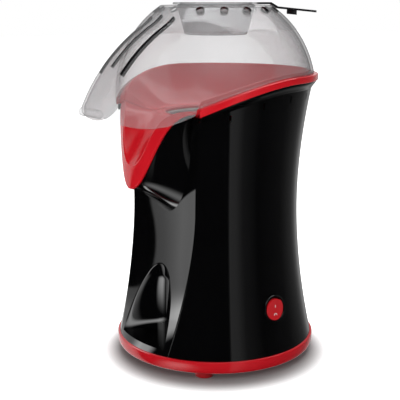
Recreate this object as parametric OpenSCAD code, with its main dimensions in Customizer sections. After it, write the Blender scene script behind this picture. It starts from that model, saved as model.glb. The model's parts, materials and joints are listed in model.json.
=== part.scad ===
// Hot-air popcorn maker: hourglass body, red chute, clear cover and measuring cup.
// Millimetres, +Z up, front of the machine towards -Y, origin on the body's axis at the floor.

/* [Body] */
// Radius of the body where it stands on the base ring
base_r = 81.6; // [79:0.1:86]
// Radius of the body at its waist
waist_r = 68; // [65:0.1:70]
// Height of the waist above the floor
waist_z = 130; // [120:1:140]
// Wall thickness of the body mouldings
wall = 2.4; // [2:0.1:2.8]
// Half the width of the front panel at the floor end
seam_foot = 33; // [30:0.5:36]
// Half the width of the front panel at the waist
seam_waist = 42.3; // [40:0.1:45]
// Gap along the seam between front panel and side shell
seam_gap = 0.3; // [0.2:0.05:0.5]

/* [Front panel] */
// Room between the air duct and the front panel's face at the waist
panel_room = 5; // [4.4:0.1:6]
// Distance from the arched recess to the seam at the sill
arch_margin = 4; // [2.5:0.1:5]
// Height of the arched recess above its sill
arch_h = 61.5; // [54:0.5:66]
// Height of the sill above the base ring
sill_h = 4.4; // [4:0.1:8]
// How far the recess's back wall lies behind the panel's face at the waist
recess_set = 0.8; // [0:0.1:1.2]
// How far the tip of the cowl lies below the tip of the chute
cowl_drop = 23.5; // [18:0.5:26]
// Distance from the cowl to the seam where the cowl leaves the panel
cowl_margin = 3.8; // [3:0.1:6]

/* [Base] */
// Height of the feet
foot_h = 5.5; // [4.5:0.1:7]
// Diameter of a foot
foot_d = 15; // [12:0.5:16]
// Distance of the feet's middles from the edge of the body
foot_inset = 10.6; // [9.5:0.1:12]
// Height of the base ring
ring_h = 10.1; // [9:0.1:12]
// How far the base ring stands out from the body
ring_step = 1.65; // [1:0.05:2.5]
// Thickness of the bottom plate
plate_t = 2.5; // [2:0.1:3]
// Number of slots in the air intake
intake_slots = 24; // [12:1:30]

/* [Rim and chute] */
// Height of the red rim's underside at the back
rim_z = 228; // [222:0.5:236]
// Height of the red rim
rim_h = 5; // [4:0.1:6]
// How far the red rim stands out past the foot of the body
rim_step = 1; // [0.4:0.1:2.5]
// How far the rim stands out past the top edge of the body
rim_overhang = 5.1; // [4.6:0.1:6]
// Height of the black collar below the rim
collar_h = 6.5; // [5.5:0.1:7.5]
// Radius of the curve in which the rim sweeps down to the front
sweep_r = 153.5; // [146:0.5:175]
// How far behind the axis that curve begins
sweep_y = 20; // [17:0.5:23]
// Half the width of the chute where it meets the rim
chute_w = 52; // [50:0.5:54]
// Distance of the chute's tip from the axis
chute_tip_y = 85.5; // [82:0.5:88]
// How far the chute's tip lies below the rim at the back
chute_drop = 81; // [76:0.5:86]
// How far the bottom of the chute's opening lies below the rim at the back
spout_drop = 62; // [58:0.5:66]
// Depth of the chute's flat ring round the chamber's mouth below the rim
bowl_depth = 28.8; // [27:0.1:31]
// Thickness of the chute moulding
chute_t = 2.4; // [2:0.1:2.8]

/* [Clear cover] */
// How far the rim stands out past the cover's dome
cover_inset = 0.9; // [0.5:0.1:1.6]
// How far the centre of the dome lies below the rim
dome_drop = 10; // [8:0.5:12]
// Height of the cover's flat top above the rim's underside
cover_h = 58.5; // [56:0.5:61]
// Thickness of the cover
cover_t = 2; // [1.6:0.1:2.2]
// Distance of the nose's end from the axis
nose_reach = 119.2; // [115:0.1:123]
// Distance from the axis at which the nose meets the flat top
nose_top = 25.4; // [22:0.1:29]
// Radius of the curve along the nose
nose_r = 141; // [125:0.5:160]
// Half the width of the flat strip on the nose
nose_w = 13; // [12:0.5:14]
// Radius of the rolled lip at the end of the nose
lip_r = 3.2; // [2.8:0.1:3.6]
// Width of the slots in the nose
slot_w = 1.6; // [1.4:0.1:2.6]
// Diameter of the round steam vents
vent_d = 6.5; // [5:0.1:7.5]
// Radius of the hole that holds the measuring cup
cup_hole_r = 31; // [29:0.1:32]

/* [Measuring cup] */
// How far the cup's rim stands out past the hole in the cover
cup_flange = 3.5; // [3:0.1:5]
// How much narrower the cup's bottom is than the hole in the cover
cup_taper = 6; // [3:0.5:9]
// Depth of the cup below the cover's top
cup_depth = 23.5; // [20:0.5:26]
// Wall thickness of the cup
cup_t = 1.6; // [1.4:0.1:2]
// Distance of the handle's end from the cup's axis
handle_reach = 81; // [74:0.5:88]
// Width of the handle
handle_w = 14; // [12:0.5:16]
// How far the handle's end lies below the cup's rim
handle_drop = 6.5; // [5.5:0.1:8]
// Direction of the handle, from the front round to the right
handle_turn = 145; // [130:1:180]

/* [Popping chamber] */
// Outer radius of the chamber
chamber_r = 41; // [38:0.1:43]
// Gap between the chamber and the air duct round it
duct_gap = 3.5; // [3:0.1:4.5]
// Thickness of the chamber's metal
metal_t = 1; // [0.8:0.1:1.2]
// Number of louvres through which the hot air swirls
louvres = 16; // [12:1:20]
// Room for the heater between the fan housing and the chamber
heater_room = 36; // [34:0.5:40]

/* [Fan and motor] */
// Diameter of the motor
motor_d = 35; // [32:0.5:37]
// Length of the motor
motor_l = 32; // [28:0.5:36]
// Room between the bottom plate and the motor
motor_room = 14; // [12:0.5:16]
// Diameter of the motor's shaft
shaft_d = 4; // [3:0.1:5]
// Gap between the impeller and the fan housing
fan_gap = 4.6; // [3:0.1:6]
// Number of impeller blades
blades = 9; // [7:1:11]
// Height of the fan housing
fan_h = 21.5; // [20:0.5:24]

/* [Power switch] */
// Height of the switch
switch_z = 51.5; // [46:0.5:54]
// Diameter of the switch's flange
switch_d = 22; // [19:0.1:23]
// Width of the flange round the rocker
bezel_w = 2.5; // [2.3:0.1:3]
// Angle of the rocker in its off position
rocker_tilt = 7; // [5:0.5:8]

/* [Hidden] */
$fn = 64;

black = [0.03, 0.03, 0.035];
red = [0.8, 0.06, 0.09];
clear = [0.8, 0.82, 0.84, 0.35];
steel = [0.7, 0.7, 0.72];
brass = [0.75, 0.6, 0.3];

ring_z = foot_h;
base_z = ring_z + ring_h;
rim_r = base_r + rim_step;
crown_z = rim_z - collar_h;
crown_r = rim_r - rim_overhang;
sweep_z = rim_z - sweep_r;
curve_power = 1.9;
seam_power = 1.6;
seam_crown = chute_w - 2;
duct_r = chamber_r + duct_gap;
duct_t = 0.8;
face_y = duct_r + duct_t + panel_room;
sill_z = base_z + sill_h;
arch_top = sill_z + arch_h;
arch_w = seam_foot - arch_margin;
recess_y = face_y - recess_set;
chute_tip_z = rim_z - chute_drop;
cowl_tip_z = chute_tip_z - cowl_drop;
cowl_w = seam_waist - cowl_margin;
eps = 0.01;

// ---- Shared surfaces ------------------------------------------------------------------

// Radius of the hourglass body at height z
function body_r(z) =
    z < waist_z
    ? waist_r + (base_r - waist_r) * pow((waist_z - z) / (waist_z - base_z), curve_power)
    : waist_r + (crown_r - waist_r) * pow((z - waist_z) / (crown_z - waist_z), curve_power);

// Half the width of the front panel at height z
function seam_x(z) =
    z < waist_z
    ? seam_waist - (seam_waist - seam_foot) * pow((waist_z - z) / (waist_z - base_z), seam_power)
    : seam_waist + (seam_crown - seam_waist) * pow((z - waist_z) / (crown_z - waist_z), seam_power);

// Height of the swept edge that lies `up` above the rim's underside, at depth y
function sweep_at(y, up = 0) =
    let (r = sweep_r + up, d = min(0, y - sweep_y)) sweep_z + sqrt(r * r - d * d);

// Face of the front panel, without its recess
face_power = 2.2;
function face_mid(z) =
    z < waist_z ? face_y + (base_r - face_y) * pow((waist_z - z) / (waist_z - base_z), face_power) : face_y;
function face_at(x, z) =
    let (r = body_r(z), s = seam_x(z), edge = sqrt(r * r - s * s), k = x / s)
    -(face_mid(z) + (edge - face_mid(z)) * k * k);

// Half the width of the recess at height z, and how far it is set back
function arch_half(z) =
    let (s = (z - sill_z) / (arch_top - sill_z)) arch_w * sqrt(max(0, 1 - pow(max(0, s), 1.85)));
function recess_depth(x, z) =
    let (w = arch_half(z), k = w < 0.5 ? 1 : min(1, abs(x) / w),
         fade = sqrt(min(1, max(0, arch_top - z) / 14)))
    (face_mid(z) - recess_y) * fade * pow(1 - pow(k, 2.2), 0.75);

// Closed solid from a grid of points: each row is a closed loop, the first and last are capped
module skin_loops(rows) {
    n = len(rows[0]);
    m = len(rows);
    points = [for (row = rows) each row];
    sides = [for (i = [0:m - 2], j = [0:n - 1])
        let (a = i * n + j, b = i * n + (j + 1) % n, c = a + n, d = b + n) each [[a, c, b], [b, c, d]]];
    caps = [[for (j = [0:n - 1]) j], [for (j = [n - 1:-1:0]) (m - 1) * n + j]];
    polyhedron(points, concat(sides, caps), convexity = 8);
}

// Closed ring from a grid of points: each row is a closed loop and the last joins the first
module skin_ring(rows) {
    n = len(rows[0]);
    m = len(rows);
    points = [for (row = rows) each row];
    sides = [for (i = [0:m - 1], j = [0:n - 1])
        let (k = (i + 1) % m, a = i * n + j, b = i * n + (j + 1) % n, c = k * n + j,
             d = k * n + (j + 1) % n) each [[a, c, b], [b, c, d]]];
    polyhedron(points, sides, convexity = 8);
}

// Everything below the swept edge that lies `up` above the rim's underside
module below_sweep(up) {
    front = 1.12 * rim_r;
    back = 2 * rim_r;
    steps = 24;
    edge = [for (i = [0:steps]) let (y = i * (front + sweep_y) / steps - front) [y, sweep_at(y, up)]];
    rotate([90, 0, 90])
        linear_extrude(height = 2 * back, center = true)
            polygon(concat([[-front, 0], [back, 0], [back, sweep_at(back, up)]],
                           [for (i = [steps:-1:0]) edge[i]]));
}

// The front opening of the side shell, as wide as the seam plus a gap
module front_cut(gap) {
    steps = 22;
    top = rim_z + rim_h;
    zs = [for (i = [0:steps]) base_z - 2 + i * (top - base_z + 2) / steps];
    right = [for (z = zs) [seam_x(max(base_z, min(crown_z, z))) + gap, z]];
    rotate([90, 0, 0])
        linear_extrude(height = 2 * base_r)
            polygon(concat(right, [for (i = [steps:-1:0]) [-right[i][0], right[i][1]]]));
}

// ---- Body -----------------------------------------------------------------------------

body_steps = 26;
body_levels = [for (i = [0:body_steps]) base_z + i * (crown_z - base_z) / body_steps];
slit_h = 5;
slit_w = 1.6;
slit_drop = 5;
gland_z = 30;
gland_d = 12;

module body_wall() {
    outer = [for (z = body_levels) [body_r(z), z]];
    inner = [for (i = [body_steps:-1:0]) [body_r(body_levels[i]) - wall, body_levels[i]]];
    rotate_extrude($fn = 128) polygon(concat(outer, inner));
}

// Puts a piece on the outside of the body, square to its wall, at an angle from the right side
module on_wall(angle, z) {
    reach = 5;
    slope = atan((body_r(z - reach) - body_r(z + reach)) / (2 * reach));
    rotate([0, 0, angle]) translate([body_r(z), 0, z]) rotate([0, 90 - slope, 0]) children();
}
module at_switch() on_wall(0, switch_z) children();
module at_gland() on_wall(90, gland_z) children();

// A screw boss inside the shell, joined to its wall by a web
module shell_boss() {
    web_t = 3;
    translate([0, -foot_r, plate_top]) cylinder(d = boss_d, h = boss_top - plate_top);
    translate([-web_t / 2, -body_r(boss_top) + wall / 2, base_z + 1])
        cube([web_t, body_r(boss_top) - wall / 2 - foot_r, boss_top - base_z - 1]);
}

module side_shell() {
    color(black) difference() {
        union() {
            intersection() {
                body_wall();
                below_sweep(-collar_h);
            }
            for (a = foot_angles) rotate([0, 0, a]) shell_boss();
        }
        at_feet() cylinder(d = foot_screw_d, h = plate_top + foot_screw_bite + 1);
        front_cut(seam_gap);
        at_switch() cylinder(d = switch_body_d + 0.2, h = 24, center = true);
        at_gland() cylinder(d = gland_d, h = 24, center = true);
        for (side = [-1, 1], a = [60:20:160])
            rotate([0, 0, side * a - 90])
                translate([body_r(crown_z - 10) - 6, -slit_w / 2,
                           sweep_at(-body_r(crown_z) * cos(a), -collar_h) - slit_drop - slit_h / 2])
                    cube([12, slit_w, slit_h]);
    }
}

// Levels and columns of the front panel's grid
panel_top = rim_z - bowl_depth + 2.3;
panel_rise = 2;
panel_levels = concat(
    [base_z, sill_z - wall - eps, sill_z - wall, sill_z - eps, sill_z],
    [for (i = [1:9]) sill_z + i * (arch_top - sill_z) / 10],
    [for (d = [3, 1.2, 0]) arch_top - d],
    [for (i = [1:12]) arch_top + i * (panel_top - arch_top) / 12]);
recess_cols = [0, 0.3, 0.58, 0.8, 0.93, 1];
outer_cols = [0.35, 0.7, 1];
cols = len(recess_cols) + len(outer_cols) - 1;

// Height of a grid point: above the arch the outer columns reach a little higher
function panel_z(z, j) =
    z <= arch_top ? z
    : z + (z - arch_top) / (panel_top - arch_top) * panel_rise * max(0, abs(j) - cols + 2) / 2;
function panel_x(z, j) =
    let (w = max(arch_half(z), z < arch_top ? 0.6 : 0.6 + 0.12 * (z - arch_top)),
         s = seam_x(z), n = len(recess_cols), i = abs(j),
         x = i < n ? recess_cols[i] * w : w + outer_cols[i - n] * (s - w))
    (j < 0 ? -1 : 1) * x;
function panel_point(level, j, recessed, back) =
    let (z = panel_z(level, j), x = panel_x(z, j))
    [x, face_at(x, z) + (recessed ? recess_depth(x, z) : 0) + back, z];
function panel_row(z) =
    concat([for (j = [-cols:cols]) panel_point(z, j, z >= sill_z, 0)],
           [for (j = [cols:-1:-cols]) panel_point(z, j, z >= sill_z - wall, wall)]);

// Outline of the cowl where it leaves the panel, as an angle runs from one side to the other
function cowl_foot(a, inset = 0) =
    let (w = cowl_w - inset, h = panel_top - cowl_tip_z - inset, x = w * sin(a), z = panel_top - h * cos(a))
    [x, face_at(x, z), z];

// Outer edge of the chute's shield, t from -1 to 1 along its width
corner_inset = 5.4;
shield_back = sqrt(pow(rim_r - corner_inset, 2) - chute_w * chute_w);
shield_top = sweep_at(-shield_back) + 0.7;
rim_start = atan(chute_w / shield_back) + 1.16;
shield_lift = 0.6;
function shield(t) =
    let (u = abs(t), rise = u + shield_lift * u * u * (1 - u))
    [chute_w * t,
     -chute_tip_y + (chute_tip_y - shield_back) * pow(u, 1.6),
     chute_tip_z + (shield_top - chute_tip_z) * (1 - cos(180 * rise)) / 2];

// Edge of the chute's opening, for the same values of t
spout_z = rim_z - spout_drop;
spout_top = shield_top + 2;
spout_set = 3;
spout_w = 0.6;
function spout(t) =
    let (u = abs(t), flare = pow(max(0, u - 0.7) / 0.3, 2))
    [(t < 0 ? -1 : 1) * (chute_w * (spout_w * u + (0.94 - spout_w) * flare)),
     spout_set - chute_tip_y + (chute_tip_y - shield_back - spout_set) * pow(u, 3),
     spout_z + (spout_top - spout_z) * (1 - cos(180 * pow(u, 1.25))) / 2];

cowl_gap = 0.25;
cowl_set = 0.9;
cowl_cols = 24;
cowl_rows = 6;
cowl_swell = 3.5;
cowl_dip = 3.7;
cowl_reach = 0.93;
function cowl_edge(t) = shield(cowl_reach * t) + [0, chute_t + cowl_gap, -cowl_set];
function cowl_point(t, v) =
    let (top = cowl_edge(t),
         foot = cowl_foot(90 * (t < 0 ? -1 : 1) * pow(abs(t), 0.9)) + [0, wall / 2, 0],
         side = cowl_swell * abs(t) * sin(180 * v),
         keel = cowl_dip * pow(1 - abs(t), 2) * sin(180 * pow(v, 0.75)))
    top + (foot - top) * v + [0, -side / 2, keel];
function inward(p) = let (d = [0, -40, p[2] + 18] - p) d / norm(d);
function cowl_loop(t) =
    let (outer = [for (i = [0:cowl_rows]) cowl_point(t, i / cowl_rows)])
    concat(outer, [for (i = [cowl_rows:-1:0]) outer[i] + wall * inward(outer[i])]);

module front_panel() {
    steps = 12;
    opening = [for (i = [-steps:steps]) let (p = cowl_foot(90 * i / steps, wall)) [p[0], p[2]]];
    color(black) {
        difference() {
            skin_loops([for (z = panel_levels) panel_row(z)]);
            rotate([90, 0, 0])
                linear_extrude(height = 2 * base_r)
                    polygon(concat(opening, [[cowl_w - wall, rim_z], [wall - cowl_w, rim_z]]));
        }
        skin_loops([for (i = [0:cowl_cols]) cowl_loop(-1 + 2 * i / cowl_cols)]);
    }
}

// A point at an angle from the front, on the swept edge `up` above the rim's underside
function swept(a, r, up) = [r * sin(a), -r * cos(a), sweep_at(-r * cos(a), up)];

collar_r = rim_r - 1.4;
collar_gap = 0.6;
part_gap = 0.1;
collar_steps = 54;
module collar() {
    first = asin((chute_w * cowl_reach + collar_gap) / (body_r(sweep_at(-shield_back, -collar_h)) - wall));
    function loop(a) =
        let (foot = body_r(min(crown_z, sweep_at(-body_r(crown_z) * cos(a), -collar_h))),
             below_chute = max(0, min(1, rim_start + 1 - min(a, 360 - a))),
             top = -part_gap - 2.2 * below_chute)
        [swept(a, foot - wall, part_gap - collar_h), swept(a, foot + 0.2, part_gap - collar_h),
         swept(a, foot + (collar_r - foot) * 0.35, -collar_h * 0.7),
         swept(a, collar_r - 0.4, top - 2), swept(a, collar_r, top - 1.1),
         swept(a, collar_r, top), swept(a, lip_out_r + collar_gap, top)];
    color(black) skin_loops([for (i = [collar_steps:-1:0]) loop(first + i * (360 - 2 * first) / collar_steps)]);
}

// ---- Red chute ------------------------------------------------------------------------

mouth_r = chamber_r + 0.2;
mouth_flat_r = duct_r + 3.1;
mouth_z = rim_z - bowl_depth;
lip_out_r = rim_r - 6.8;
lip_in_r = lip_out_r - 1.8;
lip_h = 2.5;

function bowl(m, edge, f) =
    let (bend = 1 + 0.5 * max(0, min(1, (edge[2] - mouth_z) / 40 + 0.48)))
    [m[0] + (edge[0] - m[0]) * f, m[1] + (edge[1] - m[1]) * f, m[2] + (edge[2] - m[2]) * pow(f, bend)];

function mouth_point(a, r, z) = [r * sin(a), -r * cos(a), z];

function chute_loop(a, edge, bead, ledge, outer, under, under_in) =
    let (top = mouth_z + chute_t, m = mouth_point(a, mouth_flat_r, top), drop = [0, 0, -chute_t])
    [mouth_point(a, mouth_r, top), m, bowl(m, edge, 0.33), bowl(m, edge, 0.68), edge, bead, ledge, outer,
     under, under_in, bowl(m, edge, 0.68) + drop, bowl(m, edge, 0.33) + drop,
     mouth_point(a, mouth_flat_r, mouth_z), mouth_point(a, mouth_r, mouth_z)];

function rim_loop(a) =
    chute_loop(a, swept(a, lip_in_r, rim_h + lip_h), swept(a, lip_out_r, rim_h + lip_h),
               swept(a, lip_out_r + 0.1, rim_h), swept(a, rim_r, rim_h), swept(a, rim_r, 0),
               swept(a, lip_out_r, 0));

function shield_loop(t) =
    let (edge = spout(t), out = shield(t), d = (out - edge) / norm(out - edge), back = [0, chute_t, -0.6])
    chute_loop(rim_start * t * 0.97, edge, edge + 1.2 * d + [0, -0.7, 0], edge + 2.6 * d + [0, -0.3, 0],
               out, out + back, edge + 1.5 * d + back);

shield_steps = 26;
rim_steps = 46;
module red_chute() {
    span = 360 - 2 * rim_start;
    color(red) skin_ring(concat(
        [for (i = [0:shield_steps]) shield_loop(-1 + 2 * i / shield_steps)],
        [for (i = [0:rim_steps]) rim_loop(rim_start + i * span / rim_steps)]));
}

// ---- Base -----------------------------------------------------------------------------

ring_r = base_r + ring_step;
ring_bore = base_r - 19.6;
ledge_t = 2;
plate_r = base_r - 5.6;
plate_z = ring_z + ledge_t;
plate_top = plate_z + plate_t;

module base_ring() {
    color(red) difference() {
        rotate_extrude($fn = 128)
            polygon([[ring_bore, ring_z], [ring_r - 2.6, ring_z], [ring_r - 1.2, ring_z + 0.6],
                     [ring_r - 0.4, ring_z + 2.2], [ring_r, ring_z + 5.5], [ring_r, base_z - 0.9],
                     [ring_r - 0.7, base_z], [plate_r + 0.2, base_z], [plate_r + 0.2, plate_z],
                     [ring_bore, plate_z]]);
        at_feet() cylinder(d = foot_screw_d + 0.2, h = base_z);
    }
}

post_r = duct_r - 8.5;
post_d = 9;
post_angles = [60, 180, 300];
screw_d = 3;
screw_head_d = 5.6;
screw_head_h = 2;
screw_bite = 11;
intake_in = 14;
intake_out = post_r - 7;
intake_w = 2;

module bottom_plate() {
    color(black) difference() {
        translate([0, 0, plate_z]) cylinder(r = plate_r, h = plate_t, $fn = 128);
        for (i = [0:intake_slots - 1])
            rotate([0, 0, i * 360 / intake_slots])
                translate([intake_in, -intake_w / 2, plate_z - 1])
                    cube([intake_out - intake_in, intake_w, plate_t + 2]);
        for (a = post_angles)
            rotate([0, 0, a]) translate([0, -post_r, plate_z - 1]) cylinder(d = screw_d + 0.4, h = plate_t + 2);
        at_feet() translate([0, 0, plate_z - 1]) cylinder(d = foot_screw_d + 0.2, h = plate_t + 2);
    }
}

foot_angles = [45, 135, 225, 315];
foot_head_z = 2;
foot_screw_d = 3.5;
foot_screw_head_d = 7;
boss_d = 9;
boss_h = 18;
boss_top = plate_top + boss_h;
foot_screw_bite = 14;
foot_r = base_r - foot_inset;
module at_feet() for (a = foot_angles) rotate([0, 0, a]) translate([0, -foot_r, 0]) children();

module feet() {
    bore = foot_screw_d / 2 + 0.1;
    pocket = foot_screw_head_d / 2 + 0.2;
    color(red) at_feet() rotate_extrude()
        polygon([[pocket, 0], [foot_d / 2 - 1.2, 0], [foot_d / 2, 1.2], [foot_d / 2, foot_h],
                 [bore, foot_h], [bore, foot_head_z + 1.5], [pocket, foot_head_z + 1.5]]);
}

module foot_screws() {
    color(steel) at_feet() rotate_extrude()
        polygon([[0, foot_head_z - 0.5], [foot_screw_head_d / 2 - 0.8, foot_head_z - 0.5],
                 [foot_screw_head_d / 2, foot_head_z + 0.3], [foot_screw_head_d / 2, foot_head_z + 1.5],
                 [foot_screw_d / 2, foot_head_z + 1.5], [foot_screw_d / 2, plate_top + foot_screw_bite],
                 [0, plate_top + foot_screw_bite]]);
}

// ---- Clear cover ----------------------------------------------------------------------

dome_r = rim_r - cover_inset;
dome_z = rim_z - dome_drop;
cover_top_z = rim_z + cover_h;
skirt_z = rim_z - 16;
skirt_low = rim_z - 30.4;
skirt_r = 46;
skirt_y = nose_reach - 30.2;
nose_turn = 32;
nose_end = 90 - nose_turn;
facet_w = 5;

// The nose is an arc through its end at skirt_z and its start at the flat top
nose_run = nose_reach - nose_top;
nose_rise = cover_top_z - skirt_z;
nose_chord = sqrt(nose_run * nose_run + nose_rise * nose_rise);
nose_bow = sqrt(nose_r * nose_r - nose_chord * nose_chord / 4);
nose_axis_y = nose_bow * nose_rise / nose_chord - (nose_reach + nose_top) / 2;
nose_axis_z = (skirt_z + cover_top_z) / 2 - nose_bow * nose_run / nose_chord;
nose_low = atan((skirt_z - nose_axis_z) / (nose_reach + nose_axis_y));
nose_high = atan((cover_top_z - nose_axis_z) / (nose_top + nose_axis_y));

// Distance of the nose's middle from the axis at height z
function nose_y(z) =
    let (h = max(z, skirt_z) - nose_axis_z) sqrt(max(1, nose_r * nose_r - h * h)) - nose_axis_y;
dome_set = 0.9;
function dome_at(z) = let (h = max(0, z - dome_z)) sqrt(dome_r * dome_r - h * h) - dome_set;
function soft_max(a, b, k) = let (h = max(0, k - abs(a - b)) / k) max(a, b) + h * h * k / 4;
function soft_min(a, b, k) = -soft_max(-a, -b, k);

// Distance of the cover's outer face from the axis, at angle a from the front and height z
function cover_r(a, z) =
    let (u = min(a, 360 - a), t = min(u, nose_end), y = nose_y(z),
         side_x = nose_w + facet_w, side_y = y - 0.8 - facet_w,
         facet = (nose_w + y - 0.8) * cos(45) / cos(45 - t),
         side = (side_x * cos(nose_turn) + side_y * sin(nose_turn)) / sin(t + nose_turn),
         nose = soft_min(soft_min(y / cos(t), facet, 1.5), side, 1.5))
    u < nose_end ? soft_max(dome_at(z), nose, 3) : dome_at(z);

// Height of the cover's lower edge at angle a
cover_gap = 0.4;
function cover_low(a, inset = 0) =
    let (u = min(a, 360 - a), y = (inset - cover_r(u, skirt_z)) * cos(u))
    u < rim_start - 1.6
    ? skirt_low + skirt_r - sqrt(max(1, skirt_r * skirt_r - pow(y + skirt_y, 2)))
    : sweep_at(y, rim_h) + cover_gap;

cover_levels = 11;
function cover_z(a, f) = let (low = cover_low(a)) low + (cover_top_z - low) * sin(90 * f);
function polar(a, r, z) = [r * sin(a), -r * cos(a), z];
function cover_loop(a) =
    let (low = cover_low(a, cover_t),
         outer = [for (i = [0:cover_levels])
             let (z = cover_z(a, i / cover_levels * 0.94)) polar(a, cover_r(a, z), z)],
         inner = [for (i = [0:cover_levels])
             let (z = low + (cover_top_z - cover_t - low) * sin(90 * i / cover_levels * 0.94))
             polar(a, cover_r(a, z + 0.35 * (z - low) / 60 * cover_t) - cover_t * 1.08, z)])
    concat([polar(a, cup_hole_r, cover_top_z)], [for (i = [cover_levels:-1:0]) outer[i]], inner,
           [polar(a, cup_hole_r, cover_top_z - cover_t)]);

cover_angles = concat([0, 3, 6, 9, 12, 15], [for (i = [1:6]) 15 + i * 4.4], [rim_start - 1.5],
                      [for (i = [1:11]) rim_start - 1.5 + i * (360 - 2 * rim_start + 3) / 24]);
vent_angles = [for (i = [0:6]) 37 + 22 * i];
vent_r = cup_hole_r + 17.5;
slot_start = 0.25;
slot_end = 0.77;

// A slot along the nose, from one share of its arc to another
module nose_slot(x, from, to) {
    steps = 8;
    function arc(r) = [for (i = [0:steps])
        let (a = nose_low + (nose_high - nose_low) * (from + i * (to - from) / steps))
        [nose_axis_y - r * cos(a), nose_axis_z + r * sin(a)]];
    far = arc(nose_r + 8);
    near = arc(nose_r - 14);
    translate([x, 0, 0]) rotate([90, 0, 90])
        linear_extrude(height = slot_w, center = true)
            polygon(concat(far, [for (i = [steps:-1:0]) near[i]]));
}

module clear_cover() {
    half = cover_angles;
    n = len(half);
    back = [for (i = [n - 1:-1:1]) 360 - half[i]];
    lift = atan((cover_top_z - 3 - dome_z) / vent_r);
    color(clear) difference() {
        union() {
            skin_ring([for (a = concat(half, [180], back)) cover_loop(a)]);
            translate([0, -nose_y(skirt_z) + 1.2, cover_low(0) - 0.4]) rotate([0, 90, 0])
                cylinder(r = lip_r, h = 2 * nose_w, center = true, $fn = 32);
        }
        for (x = [-1, 0, 1]) nose_slot(x * (nose_w + 2), slot_start + (x == 0 ? 0.04 : 0), slot_end);
        for (s = [-1, 1], a = vent_angles)
            rotate([0, 0, s * a - 90]) translate([0, 0, dome_z]) rotate([0, 90 - lift, 0])
                translate([0, 0, dome_r - 10]) cylinder(d = vent_d, h = 20, $fn = 24);
    }
}

// ---- Measuring cup --------------------------------------------------------------------

seat_gap = 0.3;
cup_rim_r = cup_hole_r + cup_flange;
cup_foot_r = cup_hole_r - cup_taper;
handle_hole_d = 5;
handle_bend = 5.5;
handle_lift = 0.9;
rib_t = 1.6;
rib_h = 3.5;
rib_l = 8;
rib_r = handle_reach - 24;

// Line along the handle's underside as (radius, height): flat, down over the dome's shoulder, and out
function handle_line(top) =
    let (shoulder = dome_at(cover_top_z), bend = shoulder + handle_bend,
         dome_top = dome_z + sqrt(pow(dome_r, 2) - pow(bend + dome_set, 2)))
    [[cup_rim_r - 1, top], [shoulder, top], [bend, dome_top + handle_lift], [handle_reach, top - handle_drop]];
function handle_z(line, r) =
    let (a = line[2], b = line[3]) a[1] + (b[1] - a[1]) * (r - a[0]) / (b[0] - a[0]);

// A plate of width w across the handle, from its lower and upper edges seen from the side
module handle_side(w, lower, upper) {
    rotate([90, 0, 0]) linear_extrude(height = w, center = true) polygon(concat(lower, upper));
}
module handle_plan() {
    end = handle_reach - handle_w / 2;
    difference() {
        union() {
            translate([cup_rim_r - 1, -handle_w / 2]) square([end - cup_rim_r + 1, handle_w]);
            translate([end, 0]) circle(d = handle_w);
        }
        translate([end, 0]) circle(d = handle_hole_d);
    }
}

module measuring_cup() {
    top = cover_top_z + seat_gap;
    line = handle_line(top);
    rib = [rib_r, rib_r + rib_l];
    floor_z = cover_top_z - cup_depth;
    neck = cup_hole_r - 0.6;
    color(clear) {
        rotate_extrude($fn = 96)
            polygon([[0, floor_z], [cup_foot_r, floor_z], [neck, cover_top_z - 4], [neck, top],
                     [cup_rim_r, top], [cup_rim_r, top + cup_t], [neck - cup_t, top + cup_t],
                     [neck - cup_t, cover_top_z - 4], [cup_foot_r - cup_t, floor_z + cup_t],
                     [0, floor_z + cup_t]]);
        rotate([0, 0, handle_turn - 90]) {
            intersection() {
                handle_side(handle_w, line, [for (i = [3:-1:0]) line[i] + [0, cup_t]]);
                translate([0, 0, line[3][1] - 1]) linear_extrude(height = handle_drop + cup_t + 2)
                    handle_plan();
            }
            handle_side(rib_t, [for (r = rib) [r, handle_z(line, r) + cup_t / 2]],
                        [for (i = [1, 0]) [rib[i], handle_z(line, rib[i]) - rib_h]]);
        }
    }
}

// ---- Popping chamber and heater -------------------------------------------------------

carrier_t = 2.5;
fan_z = plate_top + motor_room + motor_l;
carrier_top = fan_z + carrier_t;
housing_r = duct_r - 1.1;
housing_t = 1.8;
housing_top = carrier_top + fan_h;
heater_hole_r = chamber_r - 13;

seal_t = 1.2;
flange_z = mouth_z - seal_t - metal_t;
flange_r = duct_r + 2.5;
chamber_z = housing_top + heater_room;
louvre_h = 10;
louvre_w = 1.4;
louvre_tilt = 35;

module popping_chamber() {
    inner = chamber_r - metal_t;
    floor_z = chamber_z + metal_t;
    color(steel) difference() {
        rotate_extrude($fn = 96)
            polygon([[0, chamber_z + 7], [14, chamber_z], [chamber_r, chamber_z], [chamber_r, flange_z],
                     [flange_r, flange_z], [flange_r, flange_z + metal_t], [inner, flange_z + metal_t],
                     [inner, floor_z], [14, floor_z], [0, floor_z + 7]]);
        for (i = [0:louvres - 1])
            rotate([0, 0, i * 360 / louvres])
                translate([chamber_r - metal_t / 2, 0, floor_z + 4]) rotate([0, 0, louvre_tilt])
                    translate([-4, -louvre_w / 2, 0]) cube([8, louvre_w, louvre_h]);
    }
}

module mouth_seal() {
    color("white") translate([0, 0, flange_z + metal_t]) difference() {
        cylinder(r = flange_r, h = seal_t, $fn = 96);
        translate([0, 0, -1]) cylinder(r = chamber_r + 0.6, h = seal_t + 2, $fn = 96);
    }
}

module air_duct() {
    color(steel) translate([0, 0, housing_top]) difference() {
        cylinder(r = duct_r + duct_t, h = flange_z - housing_top, $fn = 96);
        translate([0, 0, -1]) cylinder(r = duct_r, h = flange_z - housing_top + 2, $fn = 96);
    }
}

coil_r = heater_hole_r - 7;
coil_wire_r = 1.5;
coil_turns = 5;
mica_t = 0.8;
mica_h = heater_room - 3;
coil_pitch = (mica_h - 10) / coil_turns;
coil_z = housing_top + 6;

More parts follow.
